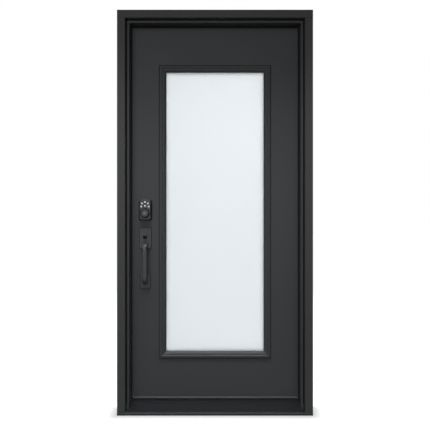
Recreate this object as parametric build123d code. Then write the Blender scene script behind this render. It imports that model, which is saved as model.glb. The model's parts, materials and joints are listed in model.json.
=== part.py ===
"""Steel entry door, hung in its frame: an insulated slab that opens into the house, with a
tall frosted lite, a keypad deadbolt and a handleset on the left, and three hinges on the right.

Millimetres. +X is right as seen from outside, +Y goes into the house and +Z is up. The origin
is at the middle of the width, on the sill's underside, in the plane of the wall's outer face,
which the back of the brickmould lies on.
"""

import math
import os

from build123d import *

# Slab
slab_width = 908.0
slab_height = 1970.0
slab_thickness = 44.5
skin = 0.7
skin_return = 5.0
stile_width = 35.0
top_rail_height = 35.0
bottom_rail_height = 50.0
lock_block_height = 330.0
foam_beside_lite = 9.5
edge_gap = 3.2
head_gap = 3.0

# Jambs, stop and brickmould
jamb_depth = 116.0
jamb_board = 19.3
stop_step = 12.7
seal_space = 5.0
mould_width = 41.0
mould_projection = 32.0
mould_reveal = 18.0
mould_inner_ease = 3.0
mould_outer_ease = 1.5
relief_width = 6.0
relief_depth = 2.0
stop_ease = 2.0
quirk_width = 6.5
quirk_depth = 7.0
kerf_width = 3.0
kerf_depth = 9.0
kerf_from_rabbet = 6.0
strip_overlap = 7.0
strip_bulge = 3.0
strip_barb_play = 0.2
strip_side_room = 1.2
strip_round = 1.5
pad_height = 50.0

# Sill
nose_face = 7.0
nose_radius = 9.0
nose_overhang = 2.0
deck_sheet = 1.8
slope_before_cap = 4.0
deck_flat = 20.0
deck_high = 46.0
substrate_front = -20.0
cap_front_room = 1.5
cap_back_room = 2.0
cap_thickness = 11.0
cap_front_drop = 3.0
cap_bevel = 10.0
sweep_space = 7.7
sweep_base = 2.5
sweep_fin = 1.8
sweep_inset = 2.0
sweep_fins = 3
drip_out = 4.0
drip_above = 5.0
drip_face = 5.5
drip_from_seal = 1.5

# Lite
lite_side_border = 158.0
lite_bottom_border = 206.3
lite_top_border = 212.7
lite_lap = 16.5
lite_wall = 2.6
bead_height = 10.0
bead_width = 15.0
ledge_height = 4.5
ledge_start = 20.0
ledge_end = 27.0
member_width = 38.5
glass_recess = 9.5
glass_thickness = 4.0
glass_edge_room = 11.0
spacer_width = 7.0
spacer_inset = 2.5
lite_boss_radius = 3.6
lite_boss_back = 4.0

# Hinges
hinge_height = 101.6
hinge_leaf = 44.5
hinge_sheet = 2.4
hinge_corner = 6.0
knuckle_radius = 6.0
knuckle_gap = 0.5
knuckle_count = 5
knuckle_play = 0.3
hinge_pin_radius = 3.2
pin_head_radius = 5.4
pin_head_height = 3.0
top_hinge_down = 229.0
bottom_hinge_up = 330.0
mortise_gap = 0.3

# Screws and bolts
screw_length = 19.0
screw_radius = 2.1
screw_head_radius = 4.0
screw_head_height = 2.2
bolt_radius = 2.5
bolt_head_radius = 4.5
bolt_head_height = 3.0
bolt_length = 46.0
bolt_tip_room = 1.0
post_radius = 4.5
post_length = 14.5

# Locks
backset = 86.5
latch_height = 899.3
lock_spacing = 139.7
cross_bore_radius = 27.0
edge_bore_radius = 12.7
case_tube_radius = 12.4
faceplate_width = 25.4
faceplate_height = 57.0
faceplate_sheet = 2.4
deadbolt_width = 15.0
deadbolt_height = 22.0
deadbolt_length = 68.0
deadbolt_case_depth = 20.0
deadbolt_tail = 14.0
latch_width = 12.5
latch_tall = 15.0
latch_length = 70.0
latch_throw = 12.0
latch_tip = 3.0
latch_case_depth = 17.0
latch_tail = 13.0
hub_radius = 6.0
bolt_spread = 20.0
strike_width = 28.0
strike_height = 57.0
strike_sheet = 1.6
strike_lip = 11.0
strike_room = 1.5

# Keypad deadbolt, outside
keypad_width = 65.0
keypad_below = 39.3
keypad_bow = 5.0
keypad_shoulder = 68.0
keypad_above = 78.4
keypad_depth = 28.0
keypad_draft = 10.0
keypad_round = 2.0
keypad_corner = 8.0
button_radius = 4.6
button_circle = 20.2
button_pitch = 50.0
buttons_above = 38.6
button_length = 2.6
button_proud = 0.6
button_travel = 1.0
knob_radius = 20.0
knob_depth = 17.0
knob_flange = 23.0
knob_waist = 16.0
finger_flat_radius = 11.0
finger_flat_bite = 2.5
well_radius = 25.5
well_depth = 10.0
plug_radius = 6.3
plug_floor = 3.0
plug_setback = 0.5
keyway_floor = 4.0
keyway_width = 1.8
keyway_height = 8.0

# Lock, inside
cover_width = 66.0
cover_height = 140.0
cover_depth = 30.0
cover_round = 5.0
cover_below = 45.0
turn_length = 38.0
turn_width = 9.0
turn_depth = 18.0
turn_disc_radius = 14.0
spindle_radius = 3.0

# Handleset
plate_thickness = 8.0
plate_ease = 1.2
plate_corner = 4.0
upper_plate_width = 61.5
upper_plate_height = 108.0
upper_plate_above_latch = 6.7
lower_plate_width = 52.0
lower_plate_height = 80.0
lower_plate_below_latch = 217.0
grip_width = 23.0
grip_deep = 13.0
grip_corner = 4.0
grip_standoff = 55.0
grip_bend = 26.0
grip_top_below_latch = 24.0
grip_bottom_below_latch = 226.0
thumb_root_width = 14.0
thumb_tip_width = 22.0
thumb_sheet = 3.6
thumb_above_latch = 7.0
thumb_barrel = 3.4
thumb_reach = 38.0
thumb_rise = 22.0
thumb_lip = 9.0
thumb_arm_width = 8.0
thumb_arm_sheet = 3.0
trunnion_radius = 1.6
trunnion_length = 3.0
rose_radius = 33.0
rose_thickness = 10.0
inside_knob_radius = 27.0
inside_knob_reach = 62.0
knob_neck_radius = 12.9

# Clearances
running = 0.05
sliding = 0.25
seal_gap = 0.3

# Worked out
half_slab = slab_width / 2
rabbet_x = half_slab + edge_gap
stop_x = rabbet_x - stop_step
jamb_x = rabbet_x + jamb_board
mould_in_x = stop_x + mould_reveal
mould_out_x = mould_in_x + mould_width
cap_top = deck_high + cap_thickness
slab_bottom = cap_top + sweep_space
slab_top = slab_bottom + slab_height
rabbet_z = slab_top + head_gap
stop_z = rabbet_z - stop_step
jamb_top = rabbet_z + jamb_board
mould_in_z = stop_z + mould_reveal
mould_top = mould_in_z + mould_width
slab_out = jamb_depth - slab_thickness
slab_in = jamb_depth
core_out = slab_out + skin
core_in = slab_in - skin
slab_middle = (slab_out + slab_in) / 2
shoulder_y = slab_out - seal_space
cap_front = shoulder_y + cap_front_room
cap_back = jamb_depth - cap_back_room
deck_slope_end = cap_front - slope_before_cap
deck_back = deck_slope_end + deck_flat
nose_y = -mould_projection - nose_overhang
nose_top = nose_face + nose_radius
deck_slope = (deck_high - nose_top) / (deck_slope_end - nose_y - nose_radius)
plug_length = knob_depth - plug_floor - plug_setback
lite_width = slab_width - 2 * lite_side_border
lite_bottom = slab_bottom + lite_bottom_border
lite_top = slab_top - lite_top_border
lite_height = lite_top - lite_bottom
pin_x = half_slab + edge_gap / 2
pin_y = slab_in + knuckle_radius + knuckle_gap
hinge_heights = {
    "top": slab_top - top_hinge_down,
    "middle": (slab_top - top_hinge_down + slab_bottom + bottom_hinge_up) / 2,
    "bottom": slab_bottom + bottom_hinge_up,
}
lock_x = -half_slab + backset
deadbolt_z = latch_height + lock_spacing
keypad_face = slab_out - keypad_depth
plate_face = slab_out - plate_thickness
cover_face = slab_in + cover_depth
rose_face = slab_in + rose_thickness
bolt_seat = slab_in + rose_thickness - bolt_head_height
lower_plate_z = latch_height - lower_plate_below_latch
thumb_z = latch_height + thumb_above_latch
thumb_y = slab_out - thumb_barrel - running


def block(x0, x1, y0, y1, z0, z1):
    """A box between two corners."""
    centre = Pos((x0 + x1) / 2, (y0 + y1) / 2, (z0 + z1) / 2)
    return centre * Box(abs(x1 - x0), abs(y1 - y0), abs(z1 - z0))


def section(*corners):
    """A closed face through corners (a, b), or (a, b, radius) where the corner is rounded."""
    face = make_face(Polyline(*[(c[0], c[1]) for c in corners], close=True))
    rounded = [c for c in corners if len(c) == 3]
    for radius in sorted({c[2] for c in rounded}):
        spots = [Vector(c[0], c[1]) for c in rounded if c[2] == radius]
        chosen = [v for v in face.vertices() if any((Vector(v.X, v.Y) - s).length < 1e-3 for s in spots)]
        face = fillet(chosen, radius)
    return face


def along_z(face, z0, z1):
    """A face drawn in X and Y, made into a bar from z0 to z1."""
    return extrude(Pos(0, 0, z0) * face, z1 - z0, dir=(0, 0, 1))


def along_x(face, x0, x1):
    """A face drawn in Y and Z, made into a bar from x0 to x1."""
    return extrude(Plane.YZ.offset(x0) * face, x1 - x0, dir=(1, 0, 0))


def round_x(y, z, radius, x0, x1):
    """A cylinder along X."""
    return Pos((x0 + x1) / 2, y, z) * Rot(0, 90, 0) * Cylinder(radius, abs(x1 - x0))


def round_y(x, z, radius, y0, y1):
    """A cylinder along Y."""
    return Pos(x, (y0 + y1) / 2, z) * Rot(90, 0, 0) * Cylinder(radius, abs(y1 - y0))


def outside(x, y, z):
    """The place of a shape drawn flat in X and Z that rises towards the street."""
    return Plane(origin=(x, y, z), x_dir=(1, 0, 0), z_dir=(0, -1, 0)).location


def inside(x, y, z):
    """The place of a shape drawn flat in X and Z that rises into the house."""
    return Plane(origin=(x, y, z), x_dir=(-1, 0, 0), z_dir=(0, 1, 0)).location


def turned(*profile):
    """A solid turned about Z from a profile of (radius, height) corners, rounded as in section."""
    face = Plane.XZ * section(*profile)
    return revolve(face, Axis.Z)


def mirrored(shape):
    """The same piece on the other side of the doorway."""
    return mirror(shape, about=Plane.YZ)


def edges_at(shape, direction, **spot):
    """The edges that run along one axis through the given coordinates."""
    found = shape.edges().filter_by(direction)
    for name, value in spot.items():
        found = [e for e in found if abs(getattr(e.center(), name) - value) < 0.01]
    return found


def pointing(x, y, z, tip):
    """The place of a screw whose head is at a point and whose tip lies along the vector tip."""
    return Plane(origin=(x, y, z), z_dir=tuple(-t for t in tip)).location


def flat_screw(room=0.0):
    """A flat-head screw: its head's top at the origin and its point down. Room makes its hole."""
    shank, head = screw_radius + room, screw_head_radius + room
    taper = screw_length - 2 * screw_radius
    profile = [(shank, -screw_head_height), (shank, -taper), (0, -screw_length - room)]
    if room:
        return turned((0, mortise_gap), (head, mortise_gap), (head, 0), *profile)
    return turned((0, 0), (head, 0), *profile)


def screw_hole(shape, places):
    """Sinks a flat-head screw's hole into a shape at each place."""
    for place in places:
        shape -= place * flat_screw(running)
    return shape


# Screw places

def hinge_screw_offsets():
    """The four screws of a hinge leaf: distance out from the pin, and height from the middle."""
    out, rows = (hinge_leaf * 0.38, hinge_leaf * 0.72), (hinge_height * 0.38, hinge_height * 0.13)
    return [(out[1], rows[0]), (out[0], rows[1]), (out[0], -rows[1]), (out[1], -rows[0])]


def leaf_hinge_screws():
    """Screws from each hinge into the slab's edge."""
    return [
        pointing(half_slab, pin_y - out, z + up, (-1, 0, 0))
        for z in hinge_heights.values()
        for out, up in hinge_screw_offsets()
    ]


def frame_hinge_screws():
    """Screws from each hinge into the jamb."""
    return [
        pointing(rabbet_x, pin_y - out, z + up, (1, 0, 0))
        for z in hinge_heights.values()
        for out, up in hinge_screw_offsets()
    ]


def faceplate_screws():
    """Two screws through each faceplate on the slab's lock edge."""
    reach = faceplate_height * 0.39
    return [
        pointing(-half_slab, slab_middle, z + side * reach, (1, 0, 0))
        for z in (latch_height, deadbolt_z)
        for side in (1, -1)
    ]


def strike_screws():
    """Two screws through each strike plate on the jamb."""
    reach = strike_height * 0.39
    return [
        pointing(-rabbet_x, slab_middle, z + side * reach, (-1, 0, 0))
        for z in (latch_height, deadbolt_z)
        for side in (1, -1)
    ]


def cap_screws():
    """The four screws that set the threshold cap's height."""
    step = slab_width / 4
    return [pointing((i - 1.5) * step, (cap_front + cap_back) / 2 + 4, cap_top, (0, 0, -1)) for i in range(4)]


def lite_screws():
    """The screws in the ledge of the inner lite frame, five up each side and one at each end."""
    inset = (ledge_start + ledge_end) / 2
    y = slab_in + ledge_height
    middle = (lite_bottom + lite_top) / 2
    side, end = lite_width / 2 - inset, lite_height / 2 - inset
    step = lite_height / 5
    spots = [(s * side, middle + i * step) for s in (1, -1) for i in (-2, -1, 0, 1, 2)]
    spots += [(0, middle + s * end) for s in (1, -1)]
    return [pointing(x, y, z, (0, -1, 0)) for x, z in spots]


def all_screws(places):
    """One flat-head screw at each place, as a group of separate solids."""
    return Compound(children=[place * flat_screw() for place in places])


# Frame

def sill_line(drop=0.0):
    """Points of the deck's upper surface from the nosing back, lowered by drop."""
    steep = drop * math.sqrt(1 + deck_slope**2)
    return [
        (nose_y + nose_radius, nose_top - steep),
        (deck_slope_end, deck_high - steep),
    ]


def over_sill():
    """The space that the sill fills, which the feet of the jambs and brickmould are cut to."""
    front, back, lip = nose_y - 10, jamb_depth + 10, nose_y + nose_radius
    face = section(
        (front, -10), (front, nose_top), (lip, nose_top), (deck_slope_end, deck_high), (back, deck_high), (back, -10)
    )
    return along_x(face, -mould_out_x - 5, mould_out_x + 5)


def under_head():
    """The head jamb's outline, which the tops of the side jambs are coped to."""
    face = section(
        (-1, stop_z), (shoulder_y, stop_z), (shoulder_y, rabbet_z), (jamb_depth + 1, rabbet_z),
        (jamb_depth + 1, jamb_top + 1), (-1, jamb_top + 1),
    )
    return along_x(face, -jamb_x - 5, jamb_x + 5)


def portal(x_in, x_out, z_in, z_out, y0, y1):
    """Two legs and a head of one thickness, as the grooves run round the doorway."""
    outer = block(-x_out, x_out, y0, y1, -5, z_out)
    return outer - block(-x_in, x_in, y0 - 1, y1 + 1, -6, z_in)


def quirk():
    """The groove in the jambs' front edge beside the brickmould."""
    return portal(mould_in_x - quirk_width, mould_in_x, mould_in_z - quirk_width, mould_in_z, -1, quirk_depth)


def kerf():
    """The slot in the stop's shoulder that holds the weatherstrip."""
    inner = rabbet_x - kerf_from_rabbet - kerf_width
    inner_z = rabbet_z - kerf_from_rabbet - kerf_width
    return portal(inner, inner + kerf_width, inner_z, inner_z + kerf_width, shoulder_y - kerf_depth, shoulder_y + 1)


def side_jamb():
    """The right jamb: a rabbeted board that stands on the sill and fits under the head."""
    face = section(
        (stop_x, 0, stop_ease), (jamb_x, 0), (jamb_x, jamb_depth), (rabbet_x, jamb_depth),
        (rabbet_x, shoulder_y), (stop_x, shoulder_y),
    )
    return along_z(face, 0, jamb_top) - over_sill() - under_head() - quirk() - kerf()


def head_jamb():
    """The head jamb, which runs over both side jambs."""
    face = section(
        (0, stop_z, stop_ease), (shoulder_y, stop_z), (shoulder_y, rabbet_z), (jamb_depth, rabbet_z),
        (jamb_depth, jamb_top), (0, jamb_top),
    )
    return along_x(face, -jamb_x, jamb_x) - quirk() - kerf()


def hinge_jamb():
    """The right jamb with its hinge mortises and screw holes."""
    jamb = side_jamb()
    for z in hinge_heights.values():
        jamb -= Pos(0, 0, z) * hinge_plate(1, mortise_gap)
    return screw_hole(jamb, frame_hinge_screws())


def strike_jamb():
    """The left jamb with its strike mortises, the latch pocket and the deadbolt's hole."""
    jamb = mirrored(side_jamb())
    for z in (latch_height, deadbolt_z):
        jamb -= strike_blank(z, mortise_gap)
    jamb -= strike_pocket(latch_height, latch_width, latch_tall, latch_throw + 2 * strike_room)
    jamb -= strike_pocket(deadbolt_z, deadbolt_width, deadbolt_height, jamb_board + 2 * strike_room)
    return screw_hole(jamb, strike_screws())


def strike_pocket(z, width, height, depth):
    """The space behind a strike plate for a bolt of one section."""
    wide, tall = width / 2 + 2 * strike_room, height / 2 + 2 * strike_room
    return block(
        -rabbet_x - depth, -rabbet_x + 1, slab_middle - wide, slab_middle + wide, z - tall, z + tall
    )


def strike_blank(z, room=0.0):
    """A strike plate without its hole, or with room the mortise it lies in."""
    tall, wide = strike_height / 2 + room, strike_width / 2 + room
    plate = block(-rabbet_x - strike_sheet, -rabbet_x, slab_middle - wide, slab_middle + wide, z - tall, z + tall)
    lip = block(
        -rabbet_x - strike_sheet, -rabbet_x, slab_middle, slab_in + (2 if room else 1), z - strike_lip - room,
        z + strike_lip + room,
    )
    return plate + lip


def strike_plate(z, width, height):
    """A strike plate with the hole for its bolt and two screw holes."""
    wide, tall = width / 2 + strike_room, height / 2 + strike_room
    plate = strike_blank(z)
    plate -= block(-jamb_x, -rabbet_x + 1, slab_middle - wide, slab_middle + wide, z - tall, z + tall)
    return screw_hole(plate, [p for p in strike_screws() if abs(p.position.Z - z) < strike_height])


def brickmould_leg():
    """The right brickmould leg, relieved behind where the jamb ends and the wall begins."""
    face = section(
        (mould_in_x, 0), (mould_in_x, -mould_projection, mould_inner_ease),
        (mould_out_x, -mould_projection, mould_outer_ease), (mould_out_x, 0),
    )
    relief = block(jamb_x, jamb_x + relief_width, -relief_depth, 1, -1, mould_in_z + 1)
    return along_z(face, 0, mould_in_z) - over_sill() - relief


def brickmould_head():
    """The brickmould head, which runs over both legs in a butt joint."""
    face = section(
        (0, mould_in_z), (-mould_projection, mould_in_z, mould_inner_ease),
        (-mould_projection, mould_top, mould_outer_ease), (0, mould_top),
    )
    relief = block(-mould_out_x - 1, mould_out_x + 1, -relief_depth, 1, jamb_top, jamb_top + relief_width)
    return along_x(face, -mould_out_x, mould_out_x) - relief


def sill_horns():
    """The wall's space beside the jambs, which the sill is notched for."""
    both = block(jamb_x, mould_out_x + 5, 0, jamb_depth + 5, -5, deck_high + 5)
    return both + mirrored(both)


def sill_deck():
    """The bent metal deck: a rounded nosing, the slope and a flat under the threshold cap."""
    lip, turn = nose_y + nose_radius, nose_radius * math.sqrt(0.5)
    inner = nose_radius - deck_sheet
    inner_turn = inner * math.sqrt(0.5)
    upper, lower = sill_line(), sill_line(deck_sheet)
    outline = Polyline((nose_y + deck_sheet, 0), (nose_y, 0), (nose_y, nose_face))
    outline += ThreePointArc((nose_y, nose_face), (lip - turn, nose_face + turn), upper[0])
    outline += Polyline(
        upper[0], upper[1], (deck_back, deck_high), (deck_back, deck_high - deck_sheet), lower[1],
        (lip, nose_face + inner),
    )
    outline += ThreePointArc(
        (lip, nose_face + inner), (lip - inner_turn, nose_face + inner_turn), (nose_y + deck_sheet, nose_face)
    )
    outline += Line((nose_y + deck_sheet, nose_face), (nose_y + deck_sheet, 0))
    return along_x(make_face(outline), -mould_out_x, mould_out_x) - sill_horns()


def sill_substrate():
    """The solid block that backs the deck, carries the jambs and takes the cap's screws."""
    lower = sill_line(deck_sheet)
    lip = nose_y + nose_radius
    start = (nose_face + nose_radius - deck_sheet)
    at_front = start + (substrate_front - lip) * (lower[1][1] - start) / (deck_slope_end - lip)
    face = section(
        (substrate_front, 0), (substrate_front, at_front), (deck_slope_end, lower[1][1]),
        (deck_back, deck_high - deck_sheet), (deck_back, deck_high), (jamb_depth, deck_high), (jamb_depth, 0),
    )
    block_under = along_x(face, -mould_out_x, mould_out_x) - sill_horns()
    return screw_hole(block_under, cap_screws())


def threshold_cap():
    """The adjustable cap that the door's sweep closes on, bevelled towards the street."""
    face = section(
        (cap_front, deck_high), (cap_front, cap_top - cap_front_drop, 1.0), (cap_front + cap_bevel, cap_top),
        (cap_back, cap_top, 2.0), (cap_back, deck_high),
    )
    end = rabbet_x - 1
    return screw_hole(along_x(face, -end, end), cap_screws())


def strip_section(rabbet):
    """The weatherstrip's section beside a rabbet face: a bulb on the slab, and a barb in the kerf."""
    inner, outer = rabbet - stop_step - strip_overlap, rabbet - strip_side_room
    back, front = shoulder_y, slab_out - seal_gap
    barb_out = rabbet - kerf_from_rabbet - strip_barb_play
    barb_in = barb_out - kerf_width + 2 * strip_barb_play
    barb_end = back - kerf_depth + strip_barb_play
    step = rabbet - stop_step
    return [
        (inner, front, strip_round), (outer, front, strip_round), (outer, back), (barb_out, back),
        (barb_out, barb_end), (barb_in, barb_end), (barb_in, back), (step, back),
        (step - 0.5, back - strip_bulge, 1.0), (inner, back - strip_bulge + 1, strip_round),
    ]


def side_strip():
    """The right weatherstrip, from the corner pad up to the head's rabbet."""
    return along_z(section(*strip_section(rabbet_x)), cap_top + pad_height, rabbet_z - 1) - under_head()


def head_strip():
    """The head weatherstrip, between the two side strips."""
    face = section(*[(c[1], c[0], *c[2:]) for c in strip_section(rabbet_z)])
    end = stop_x - strip_overlap - 0.2
    return along_x(face, -end, end)


def corner_pads():
    """The two soft wedges that close the bottom corners below the weatherstrips."""
    face = section(
        (rabbet_x - stop_step - strip_overlap, slab_out - seal_gap, 1.0), (rabbet_x - 1, slab_out - seal_gap),
        (rabbet_x - 1, shoulder_y), (stop_x, shoulder_y),
    )
    pad = along_z(face, cap_top, cap_top + pad_height - 0.2)
    return Compound(children=[pad, mirrored(pad)])


# Hinges

def hinge_plate(side, room=0.0):
    """A hinge's flat leaf, on the slab where side is -1 and on the jamb where it is 1."""
    near = pin_x + side * edge_gap / 2
    far = near + side * hinge_sheet
    back = pin_y - hinge_leaf - room
    front = slab_in + room
    tall = hinge_height / 2 + room
    plate = block(near, far, back, front, -tall, tall)
    return fillet(edges_at(plate, Axis.X, Y=back), hinge_corner)


def hinge_half(side, slots):
    """A hinge leaf with the knuckles that it carries, rolled round the pin."""
    near = pin_x + side * edge_gap / 2
    far = near + side * hinge_sheet
    pitch = hinge_height / knuckle_count
    leaf = hinge_plate(side)
    for slot in slots:
        low = -hinge_height / 2 + slot * pitch + (knuckle_play / 2 if slot else 0)
        high = -hinge_height / 2 + (slot + 1) * pitch - (knuckle_play / 2 if slot < knuckle_count - 1 else 0)
        tab = block(near, far, slab_in, pin_y - hinge_pin_radius - running - 0.8, low, high)
        knuckle = Pos(pin_x, pin_y, (low + high) / 2) * Cylinder(knuckle_radius, high - low)
        leaf = leaf + tab + knuckle
    return leaf - Pos(pin_x, pin_y, 0) * Cylinder(hinge_pin_radius + running, hinge_height + 2)


def hinge_frame_half(z):
    """The hinge leaf that is screwed to the jamb."""
    slots = range(0, knuckle_count, 2)
    leaf = Pos(0, 0, z) * hinge_half(1, slots)
    return screw_hole(leaf, [p for p in frame_hinge_screws() if abs(p.position.Z - z) < hinge_height])


def hinge_door_half(z):
    """The hinge leaf that is screwed to the slab."""
    slots = range(1, knuckle_count, 2)
    leaf = Pos(0, 0, z) * hinge_half(-1, slots)
    return screw_hole(leaf, [p for p in leaf_hinge_screws() if abs(p.position.Z - z) < hinge_height])


def hinge_pin():
    """A loose pin with a button head that rests on the top knuckle."""
    top = hinge_height / 2
    low = -top - 2
    return turned(
        (0, low), (hinge_pin_radius, low, 1.0), (hinge_pin_radius, top), (pin_head_radius, top),
        (pin_head_radius, top + pin_head_height, 1.5), (0, top + pin_head_height),
    )


def hinge_pins():
    """One pin in each hinge."""
    return Compound(children=[Pos(pin_x, pin_y, z) * hinge_pin() for z in hinge_heights.values()])


# Slab

def lite_hole(y0, y1, room=0.0):
    """The cut-out in the slab for the lite."""
    wide = lite_width / 2 - lite_lap + room
    return block(-wide, wide, y0, y1, lite_bottom + lite_lap - room, lite_top - lite_lap + room)


def cross_bores():
    """The two round holes through the slab for the lock and the latch."""
    bore = round_y(lock_x, latch_height, cross_bore_radius, slab_out - 1, slab_in + 1)
    return bore + Pos(0, 0, lock_spacing) * bore


def edge_bores():
    """The two round holes from the slab's lock edge into the cross bores."""
    bore = round_x(slab_middle, latch_height, edge_bore_radius, -half_slab - 1, lock_x)
    return bore + Pos(0, 0, lock_spacing) * bore


def faceplate_mortises():
    """The shallow seats for the two faceplates."""
    wide, tall = faceplate_width / 2 + mortise_gap, faceplate_height / 2 + mortise_gap
    seat = block(
        -half_slab - 1, -half_slab + faceplate_sheet, slab_middle - wide, slab_middle + wide,
        latch_height - tall, latch_height + tall,
    )
    return seat + Pos(0, 0, lock_spacing) * seat


def grip_bolt_hole():
    """The hole through the slab for the grip's lower bolt and its post."""
    return round_y(lock_x, lower_plate_z, post_radius + 0.5, slab_out - 1, slab_in + 1)


def face_skin(face, inner):
    """A pressed skin: a sheet on one face of the slab with a short return on each edge."""
    toward = 1 if inner > face else -1
    fold = face + toward * skin_return
    sheet = block(-half_slab, half_slab, face, inner, slab_bottom, slab_top)
    for side in (-1, 1):
        sheet += block(side * half_slab, side * (half_slab - skin), face, fold, slab_bottom, slab_top)
    sheet -= lite_hole(slab_out - 1, slab_in + 1)
    return sheet - cross_bores() - grip_bolt_hole()


def drip_strip():
    """The sheet folded out along the outer skin's foot, which throws water clear of the sweep."""
    top, nose = slab_bottom + drip_above, slab_out - drip_out
    shelf, fold = top - drip_out, skin * math.sqrt(2)
    foot = shelf - drip_face
    face = section(
        (slab_out, top), (nose, shelf, 0.8), (nose, foot), (core_out, foot), (core_out, foot + skin),
        (nose + skin, foot + skin), (nose + skin, shelf + skin - fold), (slab_out, top - fold),
    )
    reach = stop_x - strip_overlap - drip_from_seal
    return along_x(face, -reach, reach)


def exterior_skin():
    """The outer steel skin, with the drip strip welded along its foot."""
    return face_skin(slab_out, core_out) + drip_strip()


def interior_skin():
    """The inner steel skin, notched for the hinges."""
    sheet = face_skin(slab_in, core_in)
    for z in hinge_heights.values():
        sheet -= Pos(0, 0, z) * hinge_plate(-1, mortise_gap)
    return sheet


def stile(x0, x1):
    """A vertical edge board of the slab, relieved for the skins' returns."""
    board = block(x0, x1, core_out, core_in, slab_bottom, slab_top)
    edge = max((x0, x1), key=abs)
    inner = edge - math.copysign(skin, edge)
    for face, fold in ((slab_out, slab_out + skin_return), (slab_in, slab_in - skin_return)):
        board -= block(edge, inner, face, fold, slab_bottom - 1, slab_top + 1)
    return board


def hinge_stile():
    """The slab's right edge board, with hinge mortises."""
    board = stile(half_slab - stile_width, half_slab)
    for z in hinge_heights.values():
        board -= Pos(0, 0, z) * hinge_plate(-1, mortise_gap)
    return screw_hole(board, leaf_hinge_screws())


def lock_stile():
    """The slab's left edge board, bored for the latch and the deadbolt."""
    board = stile(-half_slab, -half_slab + stile_width)
    return screw_hole(board - edge_bores() - faceplate_mortises(), faceplate_screws())


def rail(z0, z1):
    """A board across the top or bottom of the slab, between the stiles."""
    end = half_slab - stile_width
    return block(-end, end, core_out, core_in, z0, z1)


def block_box():
    """The outline of the wooden block behind the locks, from the stile to a strip of foam by the lite."""
    left, right = -half_slab + stile_width, -lite_width / 2 + lite_lap - foam_beside_lite
    middle = (latch_height + deadbolt_z) / 2
    tall = lock_block_height / 2
    return block(left, right, core_out, core_in, middle - tall, middle + tall)


def lock_block():
    """The wooden block that the locks are bored into."""
    return block_box() - cross_bores() - edge_bores()


def foam_core():
    """The foam between the boards, round the lite and the lock block."""
    end = half_slab - stile_width
    core = block(-end, end, core_out, core_in, slab_bottom + bottom_rail_height, slab_top - top_rail_height)
    return core - lite_hole(slab_out, slab_in) - block_box() - grip_bolt_hole()


def door_sweep():
    """The flexible sweep under the slab, with three fins down to the threshold cap."""
    end = half_slab - 1
    y0, y1 = slab_out + sweep_inset, slab_in - sweep_inset
    strip = block(-end, end, y0, y1, slab_bottom - sweep_base, slab_bottom)
    pitch = (cap_back - 4 - sweep_fin - y0) / (sweep_fins - 1)
    for i in range(sweep_fins):
        y = y0 + i * pitch
        strip += block(-end, end, y, y + sweep_fin, cap_top + seal_gap, slab_bottom - sweep_base + 0.5)
    return strip


# Lite

def lite_profile():
    """The lite frame's section: distance in from its outer edge, and height above the skin."""
    wall, inner_lip = lite_wall, member_width - lite_wall
    rib, under_ledge = lite_lap + 0.4, ledge_height - lite_wall
    return section(
        (0, 0), (0, 2.0), (bead_width * 0.35, bead_height * 0.92, 5.0), (bead_width, bead_height, 2.0),
        (ledge_start, ledge_height + 0.4), (ledge_end, ledge_height), (member_width, -glass_recess + 4.5, 1.0),
        (member_width, -glass_recess), (inner_lip, -glass_recess), (inner_lip, -glass_recess + 3.2),
        (ledge_end - 0.8, under_ledge), (rib + wall, under_ledge), (rib + wall, -glass_recess),
        (rib, -glass_recess), (rib, bead_height - wall - 2), (wall + 2, bead_height - wall - 1.2),
        (wall, 1.4), (wall, 0),
    )


def lite_member(length):
    """One side of the lite frame, mitred at both ends: its outer edge on Y at X zero."""
    bar = extrude(Plane.XZ.offset(-length / 2) * lite_profile(), length)
    half, short = length / 2, length / 2 - member_width
    mitre = make_face(Polyline((0, -half), (0, half), (member_width, short), (member_width, -short), close=True))
    return bar & extrude(Pos(0, 0, -2 * glass_recess) * mitre, 4 * glass_recess)


def lite_frame():
    """A lite frame lying on XY with its front towards +Z and its middle at the origin."""
    upright = Pos(-lite_width / 2, 0, 0) * lite_member(lite_height)
    across = Rot(0, 0, 90) * Pos(-lite_height / 2, 0, 0) * lite_member(lite_width)
    turn = Rot(0, 0, 180)
    return upright + turn * upright + across + turn * across


def lite_frame_exterior():
    """The moulded frame on the outside of the lite, with a boss for each screw."""
    frame = outside(0, slab_out, (lite_bottom + lite_top) / 2) * lite_frame()
    for place in lite_screws():
        spot = place.position
        frame += round_y(
            spot.X, spot.Z, lite_boss_radius, slab_out - ledge_height + lite_wall / 2, slab_in - lite_boss_back
        )
    return screw_hole(frame, lite_screws())


def lite_frame_interior():
    """The moulded frame on the inside of the lite, with its screw holes."""
    middle = (lite_bottom + lite_top) / 2
    return screw_hole(inside(0, slab_in, middle) * lite_frame(), lite_screws())


def pane(y0, y1):
    """A sheet of glass of the sealed unit."""
    wide = lite_width / 2 - lite_lap - glass_edge_room
    room = lite_lap + glass_edge_room
    return block(-wide, wide, y0, y1, lite_bottom + room, lite_top - room)


def outer_glass():
    """The frosted pane on the street side."""
    y = slab_out + glass_recess
    return pane(y, y + glass_thickness)


def inner_glass():
    """The clear pane on the room side."""
    y = slab_in - glass_recess
    return pane(y - glass_thickness, y)


def glass_spacer():
    """The bar between the two panes, all the way round."""
    y0 = slab_out + glass_recess + glass_thickness
    y1 = slab_in - glass_recess - glass_thickness
    edge = lite_lap + glass_edge_room + spacer_inset
    wide, low, high = lite_width / 2 - edge, lite_bottom + edge, lite_top - edge
    ring = block(-wide, wide, y0, y1, low, high)
    return ring - block(
        -wide + spacer_width, wide - spacer_width, y0 - 1, y1 + 1, low + spacer_width, high - spacer_width
    )


# Locks inside the slab

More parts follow.
